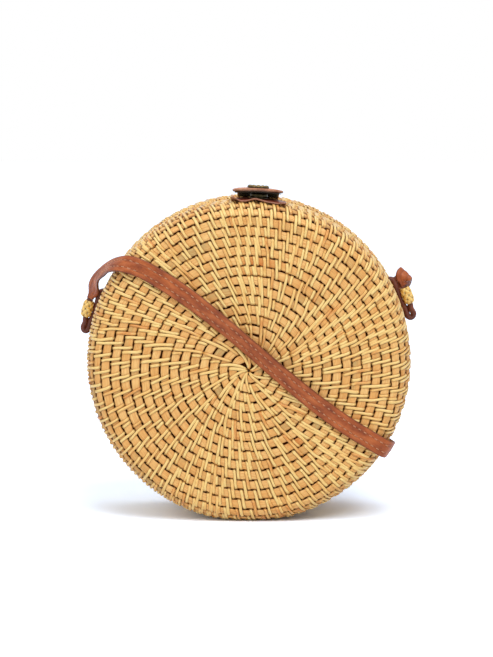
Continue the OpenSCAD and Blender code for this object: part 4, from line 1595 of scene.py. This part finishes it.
@dataclass
class SideHardware:
    """The plaited ring on one side and the leather thong that holds it."""

    place: SideRing
    palette: Palette
    strands: int = 5
    crossings: float = 1.15
    relief: float = 0.0011
    round_steps: int = 168
    height_steps: int = 57
    belly: float = 0.13
    rim: float = 0.22
    strand_h: float = 0.86
    over_h: float = 0.14
    inner_air: float = 0.0004
    # Painted shade inside the bore.
    bore_shade_level: float = 0.1

    def build(self) -> None:
        """Builds the ring and the thong of this side."""
        for piece, node in ((self.ring(), "ring"), (self.thong(), "thong")):
            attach(piece, Half.BACK.body)
            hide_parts(f"{self.place.flank.value}_{node}")

    def plait(self, turns: Array, share: Array) -> Array:
        """Height of the plait's strands, from 0 in a pit to 1 on a crossing.

        Args:
            turns: angles round the ring.
            share: heights along it, from -1 to 1.

        Returns:
            The height at each place.
        """
        first = self.strands * turns / math.tau + self.crossings * share
        second = self.strands * turns / math.tau - self.crossings * share
        over = self.over_h * np.cos(math.pi * (np.floor(first) + np.floor(second)))
        return np.maximum(np.abs(np.sin(math.pi * first)) ** 0.6 * (self.strand_h + over),
                          np.abs(np.sin(math.pi * second)) ** 0.6 * (self.strand_h - over))

    def ring(self) -> bpy.types.Object:
        """Oval barrel plaited from fine cane, with small pits between the strands."""
        p = self.place
        share = np.concatenate([[-0.93, -0.98], np.linspace(-1.0, 1.0, self.height_steps), [0.98, 0.93]])
        turns = around(self.round_steps)[:, None]
        body = 1.0 - self.belly * share ** 2 - self.rim * share ** 10
        height = self.plait(turns, share)
        inner = np.ones(len(share), bool)
        inner[2:-2] = False
        reach = np.where(inner, p.bore / 2 + self.inner_air, p.ring_r * body - self.relief * (1.0 - height))
        bore = np.full((len(turns), 4), p.bore / 2)
        up = np.concatenate([share, [0.6, 0.2, -0.2, -0.6]]) * p.ring_h / 2
        out, fore = self.oval(turns, np.concatenate([reach, bore], axis=1))
        points = p.point(p.ring_off + out, up, fore)
        # Painted shade: the pits between the strands, and more deeply the inside of the bore, take the
        # plait's pit colour.
        shading_and_wear = np.concatenate([height * np.where(inner, self.bore_shade_level, 1.0), 0 * bore], axis=1)
        grain = stacked(turns * p.ring_r, up, 0.0)
        if p.flank is Flank.RIGHT:
            points, shading_and_wear, grain = (values[:, ::-1] for values in (points, shading_and_wear, grain))
        loft = Loft.of(points, grain, 0.5, shading_and_wear, loop=True)
        return loft.piece(f"{p.flank.value}_plaited_ring", self.palette.get(GoldCaneFinish()), "gold_cane")

    def oval(self, turns: Array, reach: Array) -> tuple[Array, Array]:
        """Outline of the ring seen along its bore: distances out of the wall, and to the front."""
        stretch = (self.place.thong_w - self.place.thong_t / 2) / 2
        return reach * np.cos(turns), reach * np.sin(turns) + stretch * np.tanh(3.0 * np.sin(turns))

    def thong_line(self) -> tuple[Array, Array]:
        """Middle line of the thong, as distances off the wall and up from the ring's middle."""
        p = self.place
        loop_r = (p.ring_off - p.strip_off) / 2
        loop_drop = p.ring_h / 2 + 3.3 * p.thong_t
        slot_up = p.ring_h / 2 + 4.2 * p.thong_t
        bend_r = 1.2 * p.thong_t
        loop = np.radians(np.linspace(0, -180, 19))
        turn_in = np.radians(np.linspace(0, 90, 8))
        out = np.concatenate([[p.ring_off] * 7,
                              p.strip_off + loop_r + loop_r * np.cos(loop), [p.strip_off] * 4,
                              p.strip_off - bend_r + bend_r * np.cos(turn_in), [-0.002, -0.005]])
        up = np.concatenate([np.linspace(p.thong_end, -p.ring_h / 2, 5),
                             [-p.ring_h / 2 - 0.0011, -loop_drop * 0.75],
                             -loop_drop + loop_r * np.sin(loop),
                             np.linspace(-loop_drop * 0.6, slot_up - bend_r - 0.002, 4),
                             slot_up - bend_r + bend_r * np.sin(turn_in), [slot_up] * 2])
        below = smoothstep((-up - p.ring_h / 2 + 0.001) / (0.5 * loop_drop))
        middle = (p.ring_off + p.strip_off) / 2
        closed = p.pinch * below + p.waist * np.exp(-(((up + p.ring_h / 2 + 0.0027) / 0.0019) ** 2))
        return middle + (out - middle) * (1.0 - closed), up

    def thong(self) -> bpy.types.Object:
        """The narrowed strap end: down through the ring, round and up into the wall."""
        p = self.place
        out, up = self.thong_line()
        number = np.arange(len(out))
        step = unit(np.gradient(np.stack([out, up], axis=-1), axis=0))
        turned = np.interp(number, (0, 4), (p.facing, 0.0))
        normals = p.point(-step[:, 1] * np.cos(turned), step[:, 0] * np.cos(turned), np.sin(turned))
        normals = normals - p.point(0.0, 0.0)
        width = p.thong_w * (1.0 - 0.16 * np.exp(-(((number - 15) / 7.0) ** 2)))
        in_bore = number < 7
        from_end = np.where(in_bore, 0.0, 0.0025)
        beside = (smoothstep((up + p.ring_h / 2 + 0.001 - 0.8 * from_end) / 0.0025)
                  - smoothstep((up - p.ring_h / 2 + from_end) / 0.002))
        swell = p.loop_swell - (p.loop_swell - np.where(in_bore, 1.0, 1.5)) * beside
        swell[0] = 1.0
        loft = Band(p.point(out, up), normals, width, p.thong_t, swell).surface(SOFT_BAND)
        # The thong takes the darker copy of the strap's leather: painted shade.
        return loft.piece(f"{p.flank.value}_leather_thong", self.palette.get(SHADED_THONG), "leather")


@dataclass
class StrapRoute:
    """Frames of the whole strap from the left ring to the right one.

    A station holds a place, the outward normal of the strap's outer side and a width. The
    lists below are given points: BIGHT, WRAP and HOOK as loose takes them; FRONT
    as shares of the bag's radius and a tilt in degrees; BEHIND and RISE the same with a
    turn from on edge to flat; BEND as shares of the slack's core.
    """

    form: ShellForm
    left: SideRing
    right: SideRing
    width: float = 0.0115
    thickness: float = 0.0019
    fit: float = 0.0003
    wrap_angle: float = -31.6
    hank_run: float = 0.034
    hank_core: float = 0.006
    hank_air: float = 0.00055
    hank_x: float = -0.005
    long_turns: float = 630.0
    short_turns: float = 540.0
    turn_step: float = 15.0
    upright_share: float = 0.01
    steps: int = 6

    BIGHT = ((1.066, -6.6, 0.15, 0.55, 0, -0.83, 0.88), (1.075, -10, 0.01, 0.68, 0, -0.73, 0.9),
             (1.073, -13.6, -0.2, 0.93, 0, -0.37, 0.95), (1.055, -17, -0.46, 0.95, 0, -0.31, 1),
             (1.035, -20.2, -0.74, 0.85, -0.2, -0.5, 1), (0.982, -23.6, -0.985, 0.3, -0.3, -0.9, 1))
    FRONT = ((-0.659, 0.596, 0), (-0.567, 0.546, 0), (-0.475, 0.49, 3), (-0.383, 0.428, 8),
             (-0.291, 0.36, 15), (-0.199, 0.287, 21), (-0.106, 0.211, 25), (-0.014, 0.132, 27),
             (0.079, 0.051, 26), (0.171, -0.03, 24),
             (0.264, -0.109, 20), (0.356, -0.186, 15), (0.449, -0.26, 10),
             (0.542, -0.329, 5), (0.635, -0.393, 2), (0.728, -0.45, 0))
    WRAP = ((0.955, 0, -1.015, 0.15, 0, -0.99, 1), (1.005, 0, -0.96, 0.6, 0, -0.8, 1),
            (1.031, 0, -0.75, 0.93, 0, -0.37, 1), (1.028, -0.9, -0.4, 1, 0, 0, 1),
            (1.018, -1.8, 0, 1, 0, 0, 1), (1.016, -2.3, 0.45, 1, 0, 0, 1),
            (1.013, -2, 0.8, 0.9, 0, 0.44, 1), (0.99, -1, 0.99, 0.5, 0, 0.87, 1),
            (0.93, 0, 1.02, 0.1, 0, 0.99, 1))
    BEHIND = ((0.75, 0.515, 90), (0.67, 0.54, 75), (0.585, 0.51, 45), (0.51, 0.42, 15), (0.45, 0.31, 0),
              (0.395, 0.2, 0), (0.325, 0.1, 0), (0.23, 0.035, 0))
    RISE = ((0.268, 0.28, 0), (0.315, 0.46, 12), (0.405, 0.68, 32), (0.525, 0.91, 55), (0.65, 1.1, 75),
            (0.735, 1.21, 88), (0.805, 1.29, 90))
    HOOK = ((0.939, 1.7, 1.047, 0, 0, 1, 1), (1.001, 2.5, 1.004, 0.4, 0.1, 0.9, 1),
            (1.049, 3.1, 0.856, 0.75, 0.3, 0.6, 1), (1.083, 4.3, 0.673, 0.92, 0.34, 0.2, 0.97),
            (1.104, 5.7, 0.474, 0.93, 0.35, 0.1, 0.92), (1.113, 6.7, 0.306, 0.8, 0.36, -0.45, 0.9),
            (1.098, 6.5, 0.211, 0.35, 0.22, -0.9, 0.95), (1.085, 5.7, 0.189, 0.15, 0.05, -1, 0.86),
            (1.076, 5.1, 0.199, 0.5, 0, -0.86, 0.66))
    BEND = ((0.93, -0.42), (0.72, -0.56), (0.36, -0.42), (0, 0), (-0.36, 0.42), (-0.72, 0.56), (-0.93, 0.42))

    @property
    def face_y(self) -> float:
        """Distance from the seam of the strap's middle where it lies flat on a face."""
        return self.form.depth + self.fit + self.thickness / 2

    @property
    def hank_pitch(self) -> float:
        """Distance from one turn of the put-away slack to the next."""
        return self.thickness + self.hank_air

    @property
    def hank_foot(self) -> float:
        """Height of the slack's middle over the floor."""
        return self.hank_core + 2 * self.hank_pitch * self.long_turns / 360 + self.thickness / 2

    def station(self, place: Sequence[float], normal: Sequence[float], width: float) -> Array:
        """One station as seven numbers."""
        return np.array([*place, *unit(np.array(normal, float)), width])

    def headings(self, rows: Sequence[tuple]) -> Array:
        """Directions along a list of points given by their first two numbers."""
        return unit(np.gradient(np.array([(row[0], row[1]) for row in rows]), axis=0))

    def loose(self, rows: Sequence[tuple], base: float) -> list[Array]:
        """Stations off the bag.

        Args:
            rows: shares of the bag's radius, degrees from the base angle, shares of half
                the depth, the normal's parts outwards, round and back, and the width share.
            base: angle in degrees that the rows count from.

        Returns:
            The stations.
        """
        made = []
        for r, turn, depth, out, round_part, back, share in rows:
            a = math.radians(base + turn)
            radius = r * self.form.outer_r
            place = (radius * math.cos(a), depth * self.face_y, self.form.axis_z + radius * math.sin(a))
            normal = (out * math.cos(a) - round_part * math.sin(a), back,
                      out * math.sin(a) + round_part * math.cos(a))
            made.append(self.station(place, normal, share * self.width))
        return made

    def flat(self) -> list[Array]:
        """Stations of the run across the front face, tilted where the strap lies on an edge."""
        made = []
        for (x, z, tilt), (along_x, along_z) in zip(self.FRONT, self.headings(self.FRONT), strict=True):
            a = math.radians(tilt)
            reach = self.thickness / 2 * math.cos(a) + self.width / 2 * abs(math.sin(a))
            place = (x * self.form.outer_r, -(self.form.depth + self.fit + reach),
                     self.form.axis_z + z * self.form.outer_r)
            normal = (along_z * math.sin(a), -math.cos(a), -along_x * math.sin(a))
            made.append(self.station(place, normal, self.width))
        return made

    def on_edge(self, rows: Sequence[tuple]) -> list[Array]:
        """Stations behind the bag.

        Args:
            rows: shares of the bag's radius to the right and over the floor, and degrees
                turned from on edge to flat against the face.

        Returns:
            The stations.
        """
        made = []
        for (x, z, turn), (along_x, along_z) in zip(rows, self.headings(rows), strict=True):
            a = math.radians(turn)
            reach = self.width / 2 * math.cos(a) + self.thickness / 2 * math.sin(a)
            place = (x * self.form.outer_r, self.form.depth + 2 * self.fit + reach, z * self.form.outer_r)
            normal = (along_z * math.cos(a), math.sin(a), -along_x * math.cos(a))
            made.append(self.station(place, normal, self.width))
        return made

    def at_ring(self, ring: SideRing, ups: Sequence[float]) -> list[Array]:
        """Stations straight over a ring, at heights over the thong's end and as wide as the thong."""
        normal = ring.point(math.cos(ring.facing), 0.0, math.sin(ring.facing)) - ring.point(0.0, 0.0)
        return [self.station(ring.point(ring.ring_off, ring.thong_end + up), normal, ring.thong_w)
                for up in ups]

    def strand(self, start: float, turns: float) -> list[tuple[float, float]]:
        """Points of one strand of the put-away slack, from its core outwards.

        Args:
            start: angle in degrees at which it leaves the core.
            turns: degrees that it winds.

        Returns:
            Distances to the right and over the floor.
        """
        made = []
        for turn in np.arange(0.0, turns + 1.0, self.turn_step):
            a = math.radians(turn + start)
            r = self.hank_core + 2 * self.hank_pitch * turn / 360
            upright = abs(math.cos(a)) < self.upright_share
            order = (1, -1) if math.sin(a) > 0 else (-1, 1)
            for side in order if upright else (math.copysign(1, math.cos(a)),):
                across = r * math.cos(a) + side * self.hank_run / 2
                made.append((self.hank_x + across, self.hank_foot + r * math.sin(a)))
        return made

    def slack(self) -> list[Array]:
        """Stations of the put-away slack: two strands wound together."""
        bend = [(self.hank_x + x * (self.hank_run / 2 + self.hank_core), self.hank_foot + z * self.hank_core)
                for x, z in self.BEND]
        line = self.strand(0, self.long_turns)[::-1] + bend + self.strand(180, self.short_turns)
        y = self.form.depth + 2 * self.fit + self.width / 2
        return [self.station((x, y, z), (along_z, 0.0, -along_x), self.width)
                for (x, z), (along_x, along_z) in zip(line, self.headings(line), strict=True)]

    def smooth(self, stations: list[Array]) -> Array:
        """Frames along an even curve through stations."""
        s = np.array(stations)
        padded = np.concatenate([s[:1], s, s[-1:]])
        u = (np.arange(self.steps) / self.steps)[:, None]
        made = []
        for p, q, r, t in zip(padded[:-3], padded[1:-2], padded[2:-1], padded[3:], strict=True):
            made.append(0.5 * (2 * q + (r - p) * u + (2 * p - 5 * q + 4 * r - t) * u ** 2
                               + (3 * q - p - 3 * r + t) * u ** 3))
        return np.concatenate([*made, s[-1:]])

    def stretches(self) -> dict[str, Band]:
        """The named stretches, each a part of one band along the whole strap."""
        ups = [self.fit + step * self.thickness / 2 for step in range(3)]
        parts = {
            "bight": (self.at_ring(self.left, ups)
                      + self.loose(self.BIGHT, 180 - math.degrees(self.left.angle))),
            "front": self.flat(),
            "wrap": self.loose(self.WRAP, self.wrap_angle),
            "behind": self.on_edge(self.BEHIND),
            "slack": self.slack(),
            "rise": (self.on_edge(self.RISE) + self.loose(self.HOOK, math.degrees(self.right.angle))
                     + self.at_ring(self.right, ups[::-1])),
        }
        frames = self.smooth([station for part in parts.values() for station in part])
        band = Band(frames[:, :3], frames[:, 3:6], frames[:, 6], self.thickness, np.ones(len(frames)))
        starts = np.cumsum([0] + [len(part) for part in parts.values()])
        marks = [0, starts[1], starts[2] - 1, starts[3], starts[4], starts[5] - 1, starts[6] - 1]
        return {name: band.part(first * self.steps, last * self.steps)
                for name, first, last in zip(parts, marks[:-1], marks[1:], strict=True)}


@dataclass
class ShoulderStrap:
    """The leather strap in its six stretches, with its two rows of sewing."""

    route: StrapRoute
    palette: Palette
    bight_share: float = 0.2

    def build(self) -> None:
        """Builds each stretch in the place of its solid."""
        leather, thread = self.palette.get(LeatherFinish()), self.palette.get(ThreadFinish())
        for name, band in self.route.stretches().items():
            strap = band.surface(SEWN_BAND).piece(f"strap_{name}_leather", leather, "leather")
            sewing = SewnRows().mesh(band).piece(f"strap_{name}_sewing", thread, "leather")
            self.carry(name, strap)
            self.carry(name, sewing)
            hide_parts(f"strap_{name}")

    def carry(self, name: str, piece: bpy.types.Object) -> None:
        """Sets which half a piece moves with, or leaves the bight's and the wrap's pieces in place.

        Args:
            name: the stretch that it belongs to.
            piece: the piece.
        """
        reach = self.route.form.depth
        behind = {"bight": self.bight_share * reach, "wrap": reach}
        if name in behind:
            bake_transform(piece)
        else:
            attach(piece, Half.FRONT.body if name == "front" else Half.BACK.body)


@dataclass
class Closure:
    """Leather tab over the seam, its backing, the patch under it and the press stud.

    A curl of the patch holds its height, where it starts to the side of the middle and
    its run from there.
    """

    form: ShellForm
    palette: Palette
    tilt: float = math.radians(3.5)
    tab_w: float = 0.0298
    aside: float = -0.0008
    tab_t: float = 0.002
    tab_front: float = 0.028
    tab_back: float = 0.027
    tab_fold: float = 0.008
    tab_corner: float = 0.011
    bend_behind: float = 0.004
    bend_before: float = 0.003
    rise_end: float = 0.003
    lifted: float = 0.0015
    left_sag: float = 0.0002
    right_rise: float = 0.0009
    neck: float = 0.0021
    neck_run: float = 0.008
    edge_run: float = 0.0012
    backing_t: float = 0.0007
    patch_w: float = 0.034
    patch_t: float = 0.0011
    patch_back: float = 0.0058
    patch_front: float = 0.0309
    patch_air: float = 0.00015
    loose_from: float = 0.62
    wave_h: float = 0.00145
    wave_at: float = -0.0023
    wave_left: float = 0.0034
    wave_right: float = 0.0052
    left_curl: Triple = (0.0031, 0.0098, 0.007)
    right_curl: Triple = (0.0012, 0.0105, 0.006)
    stud_front: float = 0.017
    cap_r: float = 0.00675
    cap_h: float = 0.0019
    cap_lift_share: float = 0.35
    beads: int = 12
    bead_h: float = 0.0005
    body: str = "closure"
    tab_lift: float = field(init=False)
    root_lift: float = field(init=False)

    def __post_init__(self) -> None:
        """Reads the levels of the leather from the frame."""
        self.tab_lift = self.level_of("closure_tab") - self.tab_t
        self.root_lift = self.level_of("closure_root") - self.tab_t

    def build(self) -> None:
        """Builds the closure's pieces."""
        self.tab()
        self.backing()
        self.patch()
        self.cap()
        for node in ("snap_socket", "snap_stud"):
            dress_node(node, self.palette.get(BrassFinish()))

    def level_of(self, node: str) -> float:
        """Height of a node's top over the woven wall, along the closure's direction."""
        points = [vertex.co for vertex in bpy.data.objects[node].data.vertices]
        return max(math.hypot(p.x, p.z - self.form.axis_z) for p in points) - self.form.outer_r

    def wrap(self, across: Array, lift: Array, fore: Array) -> Array:
        """Points on the closure.

        Args:
            across: distances to the right of the tab's middle.
            lift: distances off the woven wall.
            fore: distances in front of the seam.

        Returns:
            XYZ of each point.
        """
        angle = math.pi / 2 - self.tilt - across / self.form.outer_r
        radius = self.form.outer_r + lift
        return stacked(radius * np.cos(angle), -fore, self.form.axis_z + radius * np.sin(angle))

    def under(self, fore: Array) -> Array:
        """Height of the tab's underside over the wall at a distance in front of the seam."""
        share = smoothstep((fore + self.tab_fold) / (self.tab_fold + self.rise_end))
        return self.root_lift + (self.tab_lift - self.root_lift) * share

    def half_width(self, fore: Array, width: float, corner: float) -> Array:
        """Half the width of a tongue with round front corners and a narrower neck.

        Args:
            fore: its stations in front of the seam, the last at its front end.
            width: its full width.
            corner: radius of its front corners.

        Returns:
            Half its width at each station.
        """
        past = np.clip(fore - (fore[-1] - corner), 0.0, corner)
        half = width / 2 - corner + np.sqrt(np.maximum(corner ** 2 - past ** 2, 0.0))
        return half - self.neck * (1.0 - smoothstep((fore - self.rise_end) / self.neck_run))

    def sag(self, across: Array, fore: Array) -> Array:
        """How far the tab's free end has come up with use, less on its left.

        Args:
            across: distances to the right of the tab's middle.
            fore: distances in front of the seam.

        Returns:
            The lift at each place.
        """
        free = np.clip((fore - self.rise_end) / (self.tab_front - self.rise_end), 0.0, 1.0) ** 1.2
        share = across / (self.tab_w / 2)
        left, right = np.maximum(-share, 0.0), np.maximum(share, 0.0)
        return free * (self.lifted - self.left_sag * left ** 2 + self.right_rise * right ** 2)

    def stations(self, back: float, front: float, corner: float, straight: int, bent: int) -> Array:
        """Distances in front of the seam of a tongue's rows, with bent ones round its corners."""
        turn = np.linspace(0.0, math.pi / 2, bent + 1)[1:]
        return np.concatenate([np.linspace(back, front - corner, straight),
                               front - corner + corner * np.sin(turn)])

    def tongue(self, fore: Array, bottom: Array, thickness: float, width: float, corner: float) -> Loft:
        """A leather tongue over the seam.

        Args:
            fore: its stations in front of the seam, from the back.
            bottom: height of its underside at each station.
            thickness: of the leather.
            width: of the leather.
            corner: radius of its front corners.

        Returns:
            Its mesh.
        """
        half = self.half_width(fore, width, corner)[:, None]
        across = half * TONGUE.across + self.aside
        rows = np.ones((len(fore), 1))
        rows[[0, -1]] = 0.5
        lift = bottom[:, None] + thickness * (1 - rows) / 2 + thickness * rows * TONGUE.out
        lift = lift + self.sag(across, fore[:, None])
        # The finish's edge colour comes in fully on the underside and by about a third at the cut edges; on
        # the tab and its backing the underside's dark is painted shade.
        from_edge = np.minimum(half * (1.0 - np.abs(TONGUE.across)), fore[-1] - fore[:, None])
        shading_and_wear = np.clip(0.5 + from_edge / self.edge_run, 0.0, 1.0) * TONGUE.shading_and_wear
        fore = fore[:, None]
        return Loft.of(self.wrap(across, lift, fore), stacked(fore, across, lift), 0.5, shading_and_wear)

    def tab(self) -> None:
        """The tab, from its sewn root to its free front end."""
        fore = self.stations(-self.tab_back, self.tab_front, self.tab_corner, 34, 10)
        loft = self.tongue(fore, self.under(fore), self.tab_t, self.tab_w, self.tab_corner)
        tab = loft.piece("closure_tongue", self.palette.get(TAB), "leather")
        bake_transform(tab)
        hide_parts("closure_tab", "closure_root")

    def backing(self) -> None:
        """The thin dark backing under the tab, a little smaller than it. It reaches back towards the fold,
        so its dark fills the gap under the tab as painted shade.
        """
        inset = self.tab_t / 2
        corner = self.tab_corner - inset
        fore = self.stations(-self.tab_fold / 2, self.tab_front - inset, corner, 14, 8)
        bottom = self.under(fore) - self.backing_t
        loft = self.tongue(fore, bottom, self.backing_t, self.tab_w - 2 * inset, corner)
        backing = loft.piece("tab_suede_backing", self.palette.get(SHADED_SUEDE), "dark_leather")
        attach(backing, self.body)
        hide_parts("tab_backing")

    def patch(self) -> None:
        """The wall's leather patch, whose front edge has come up in waves."""
        across = np.linspace(-1.0, 1.0, 49)[:, None] * self.patch_w / 2
        fore = self.patch_back + (self.patch_front - self.patch_back) * FLAP.across
        loose = smoothstep((FLAP.across - self.loose_from) / (1.0 - self.loose_from))
        run = np.where(across < self.wave_at, self.wave_left, self.wave_right)
        wave = self.wave_h * np.exp(-(((across - self.wave_at) / run) ** 2))
        for side, (height, start, curl_run) in ((-1.0, self.left_curl), (1.0, self.right_curl)):
            wave = wave + height * smoothstep((side * across - start) / curl_run)
        ends = np.ones_like(across)
        ends[[0, -1]] = 0.5
        lift = self.patch_air + self.patch_t * ((1 - ends) / 2 + ends * FLAP.out) + loose * wave
        # Painted highlight: the pale edge colour comes in along the front edge and fully on the underside.
        shading_and_wear = np.clip((1.0 - FLAP.across) / 0.06, 0.15, 1.0) * FLAP.shading_and_wear
        loft = Loft.of(self.wrap(across, lift, fore), stacked(fore, across, lift), 0.5, shading_and_wear)
        patch = loft.piece("closure_wall_patch", self.palette.get(PATCH), "leather")
        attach(patch, Half.FRONT.body)
        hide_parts("closure_patch")

    def cap(self) -> None:
        """The press stud's cap: a low dome with a beaded rim."""
        turn = around(96)[:, None]
        beading = np.abs(np.cos(turn * self.beads / 2))
        height = self.cap_h * CAP.out + self.bead_h * CAP.shading_and_wear * (beading - 0.6)
        across = self.cap_r * CAP.across * np.cos(turn) + self.aside
        fore = self.stud_front + self.cap_r * CAP.across * np.sin(turn)
        tilt = (fore - self.stud_front) * self.lifted / (self.tab_front - self.rise_end)
        lift = self.tab_lift + self.tab_t + height + tilt + self.cap_lift_share * self.lifted
        up = np.array([math.sin(self.tilt), 0.0, math.cos(self.tilt)])
        right = np.array([up[2], 0.0, -up[0]])
        points = (np.array([0.0, 0.0, self.form.axis_z]) + up * (self.form.outer_r + lift)[..., None]
                  + right * across[..., None] - np.array([0.0, 1.0, 0.0]) * fore[..., None])
        shading_and_wear = np.clip(0.2 + CAP.shading_and_wear * (0.4 + 0.6 * beading), 0.0, 1.0)
        loft = Loft.of(points[:, ::-1], points[:, ::-1], 0.5, shading_and_wear[:, ::-1], loop=True)
        cap = loft.piece("press_stud_cap", self.palette.get(BrassFinish()), "snap_brass")
        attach(cap, self.body)
        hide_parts("snap_cap")


def dress_node(node: str, material: bpy.types.Material) -> None:
    """Gives a node of the frame its material.

    Args:
        node: the node's name.
        material: what it is dressed with.
    """
    obj = bpy.data.objects[node]
    obj.data.materials.clear()
    obj.data.materials.append(material)
    log.info("%s: dressed with %s", node, material.name)


@dataclass
class Studio:
    """White sweep, soft lights and the camera at the photograph's place.

    A lamp holds its place, its width and its power.
    """

    form: ShellForm
    palette: Palette
    distance: float = 1.9
    azimuth: float = math.radians(1.0)
    elevation: float = math.radians(7.3)
    lens_mm: float = 169.0
    sensor_mm: float = 36.0
    view_end: float = 20.0
    aim_x: float = -0.0011
    aim_up: float = 0.0226
    floor_size: float = 6.0
    floor_z: float = -0.00002
    sky_power: float = 0.42

    LAMPS = {
        "key_softbox": ((0.45, -1.0, 1.55), 1.1, 17.0),
        "fill_softbox": ((-1.1, -1.0, 0.9), 1.2, 6.0),
        "top_softbox": ((0.0, 0.25, 1.7), 1.0, 5.0),
    }

    def build(self) -> None:
        """Builds the floor, the world, the lamps and the camera."""
        self.floor()
        self.world()
        for name, (place, size, power) in self.LAMPS.items():
            self.lamp(name, place, size, power)
        self.camera()
        bpy.context.scene.view_settings.view_transform = "Standard"

    def floor(self) -> None:
        """Adds the floor."""
        steps = np.linspace(-0.5, 0.5, 3) * self.floor_size
        points = stacked(steps[:, None], steps, self.floor_z)
        loft = Loft.of(points, points, ring=False)
        loft.piece("studio_floor", self.palette.get(FloorFinish()), "reed")

    def world(self) -> None:
        """Sets the even light, which the camera sees as white."""
        world = bpy.data.worlds.new("studio_world")
        world.use_nodes = True
        bpy.context.scene.world = world
        nodes = NodeTree(world.node_tree)
        background = nodes.tree.nodes["Background"]
        nodes.feed(background.inputs["Color"], (1.0, 1.0, 1.0, 1.0))
        strength = nodes.level(nodes.stage_ray(), 0.0, 1.0, self.sky_power, 1.0)
        nodes.feed(background.inputs["Strength"], strength)

    def lamp(self, name: str, place: Triple, size: float, power: float) -> None:
        """Adds one square soft lamp aimed at the bag's middle.

        Args:
            name: its name.
            place: where it hangs.
            size: its width.
            power: its power in watts.
        """
        data = bpy.data.lights.new(name, "AREA")
        data.size = size
        data.energy = power
        aim = Vector((0.0, 0.0, self.form.axis_z)) - Vector(place)
        self.hang(name, data, Vector(place), aim)

    def hang(self, name: str, data: bpy.types.ID, place: Vector, aim: Vector) -> bpy.types.Object:
        """Puts a lamp or the camera in its place.

        Args:
            name: the object's name.
            data: the lamp or the camera.
            place: where it stands.
            aim: the direction that it looks in.

        Returns:
            The object, linked to the scene.
        """
        obj = bpy.data.objects.new(name, data)
        obj.location = place
        obj.rotation_mode = "QUATERNION"
        obj.rotation_quaternion = aim.to_track_quat("-Z", "Y")
        bpy.context.scene.collection.objects.link(obj)
        return obj

    def camera(self) -> None:
        """Sets the camera, a little to the right of the bag and above it."""
        data = bpy.data.cameras.new("studio_camera")
        data.lens = self.lens_mm
        data.sensor_width = self.sensor_mm
        data.clip_end = self.view_end
        target = Vector((self.aim_x, -self.form.depth, self.form.axis_z + self.aim_up))
        level = math.cos(self.elevation)
        back = Vector((math.sin(self.azimuth) * level, -math.cos(self.azimuth) * level,
                       math.sin(self.elevation)))
        camera = self.hang("studio_camera", data, target + back * self.distance, -back)
        bpy.context.scene.camera = camera


def shell_form() -> ShellForm:
    """Shell sizes as the frame's front wall and face give them."""
    wall_low, wall_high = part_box("front_wall")
    face_low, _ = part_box("front_face")
    radius = (wall_high[0] - wall_low[0]) / 2
    return ShellForm(outer_r=radius, depth=-face_low[1], axis_z=wall_high[2] - radius)


def main() -> None:
    """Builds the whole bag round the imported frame."""
    logging.basicConfig(level=logging.INFO, format="%(name)s %(message)s")
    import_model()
    form = shell_form()
    palette = Palette()
    Studio(form, palette).build()
    for half in Half:
        WovenHalf(half, form, palette).build()
        SeamHoop(half, form, palette).build()
        Lining(half, form, palette).build()
    for flank in Flank:
        Gusset(flank, form, palette).build()
    left = SideRing(Flank.LEFT, form.outer_r, form.axis_z, math.radians(16.0), pinch=0.3)
    right = SideRing(Flank.RIGHT, form.outer_r, form.axis_z, math.radians(21.0))
    for ring in (left, right):
        SideHardware(ring, palette).build()
    ShoulderStrap(StrapRoute(form, left, right), palette).build()
    Closure(form, palette).build()
    HingeLacing(form, palette).build()
    for flank in Flank:
        dress_node(f"{flank.value}_anchor", palette.get(LeatherFinish()))


if __name__ == "__main__":
    main()
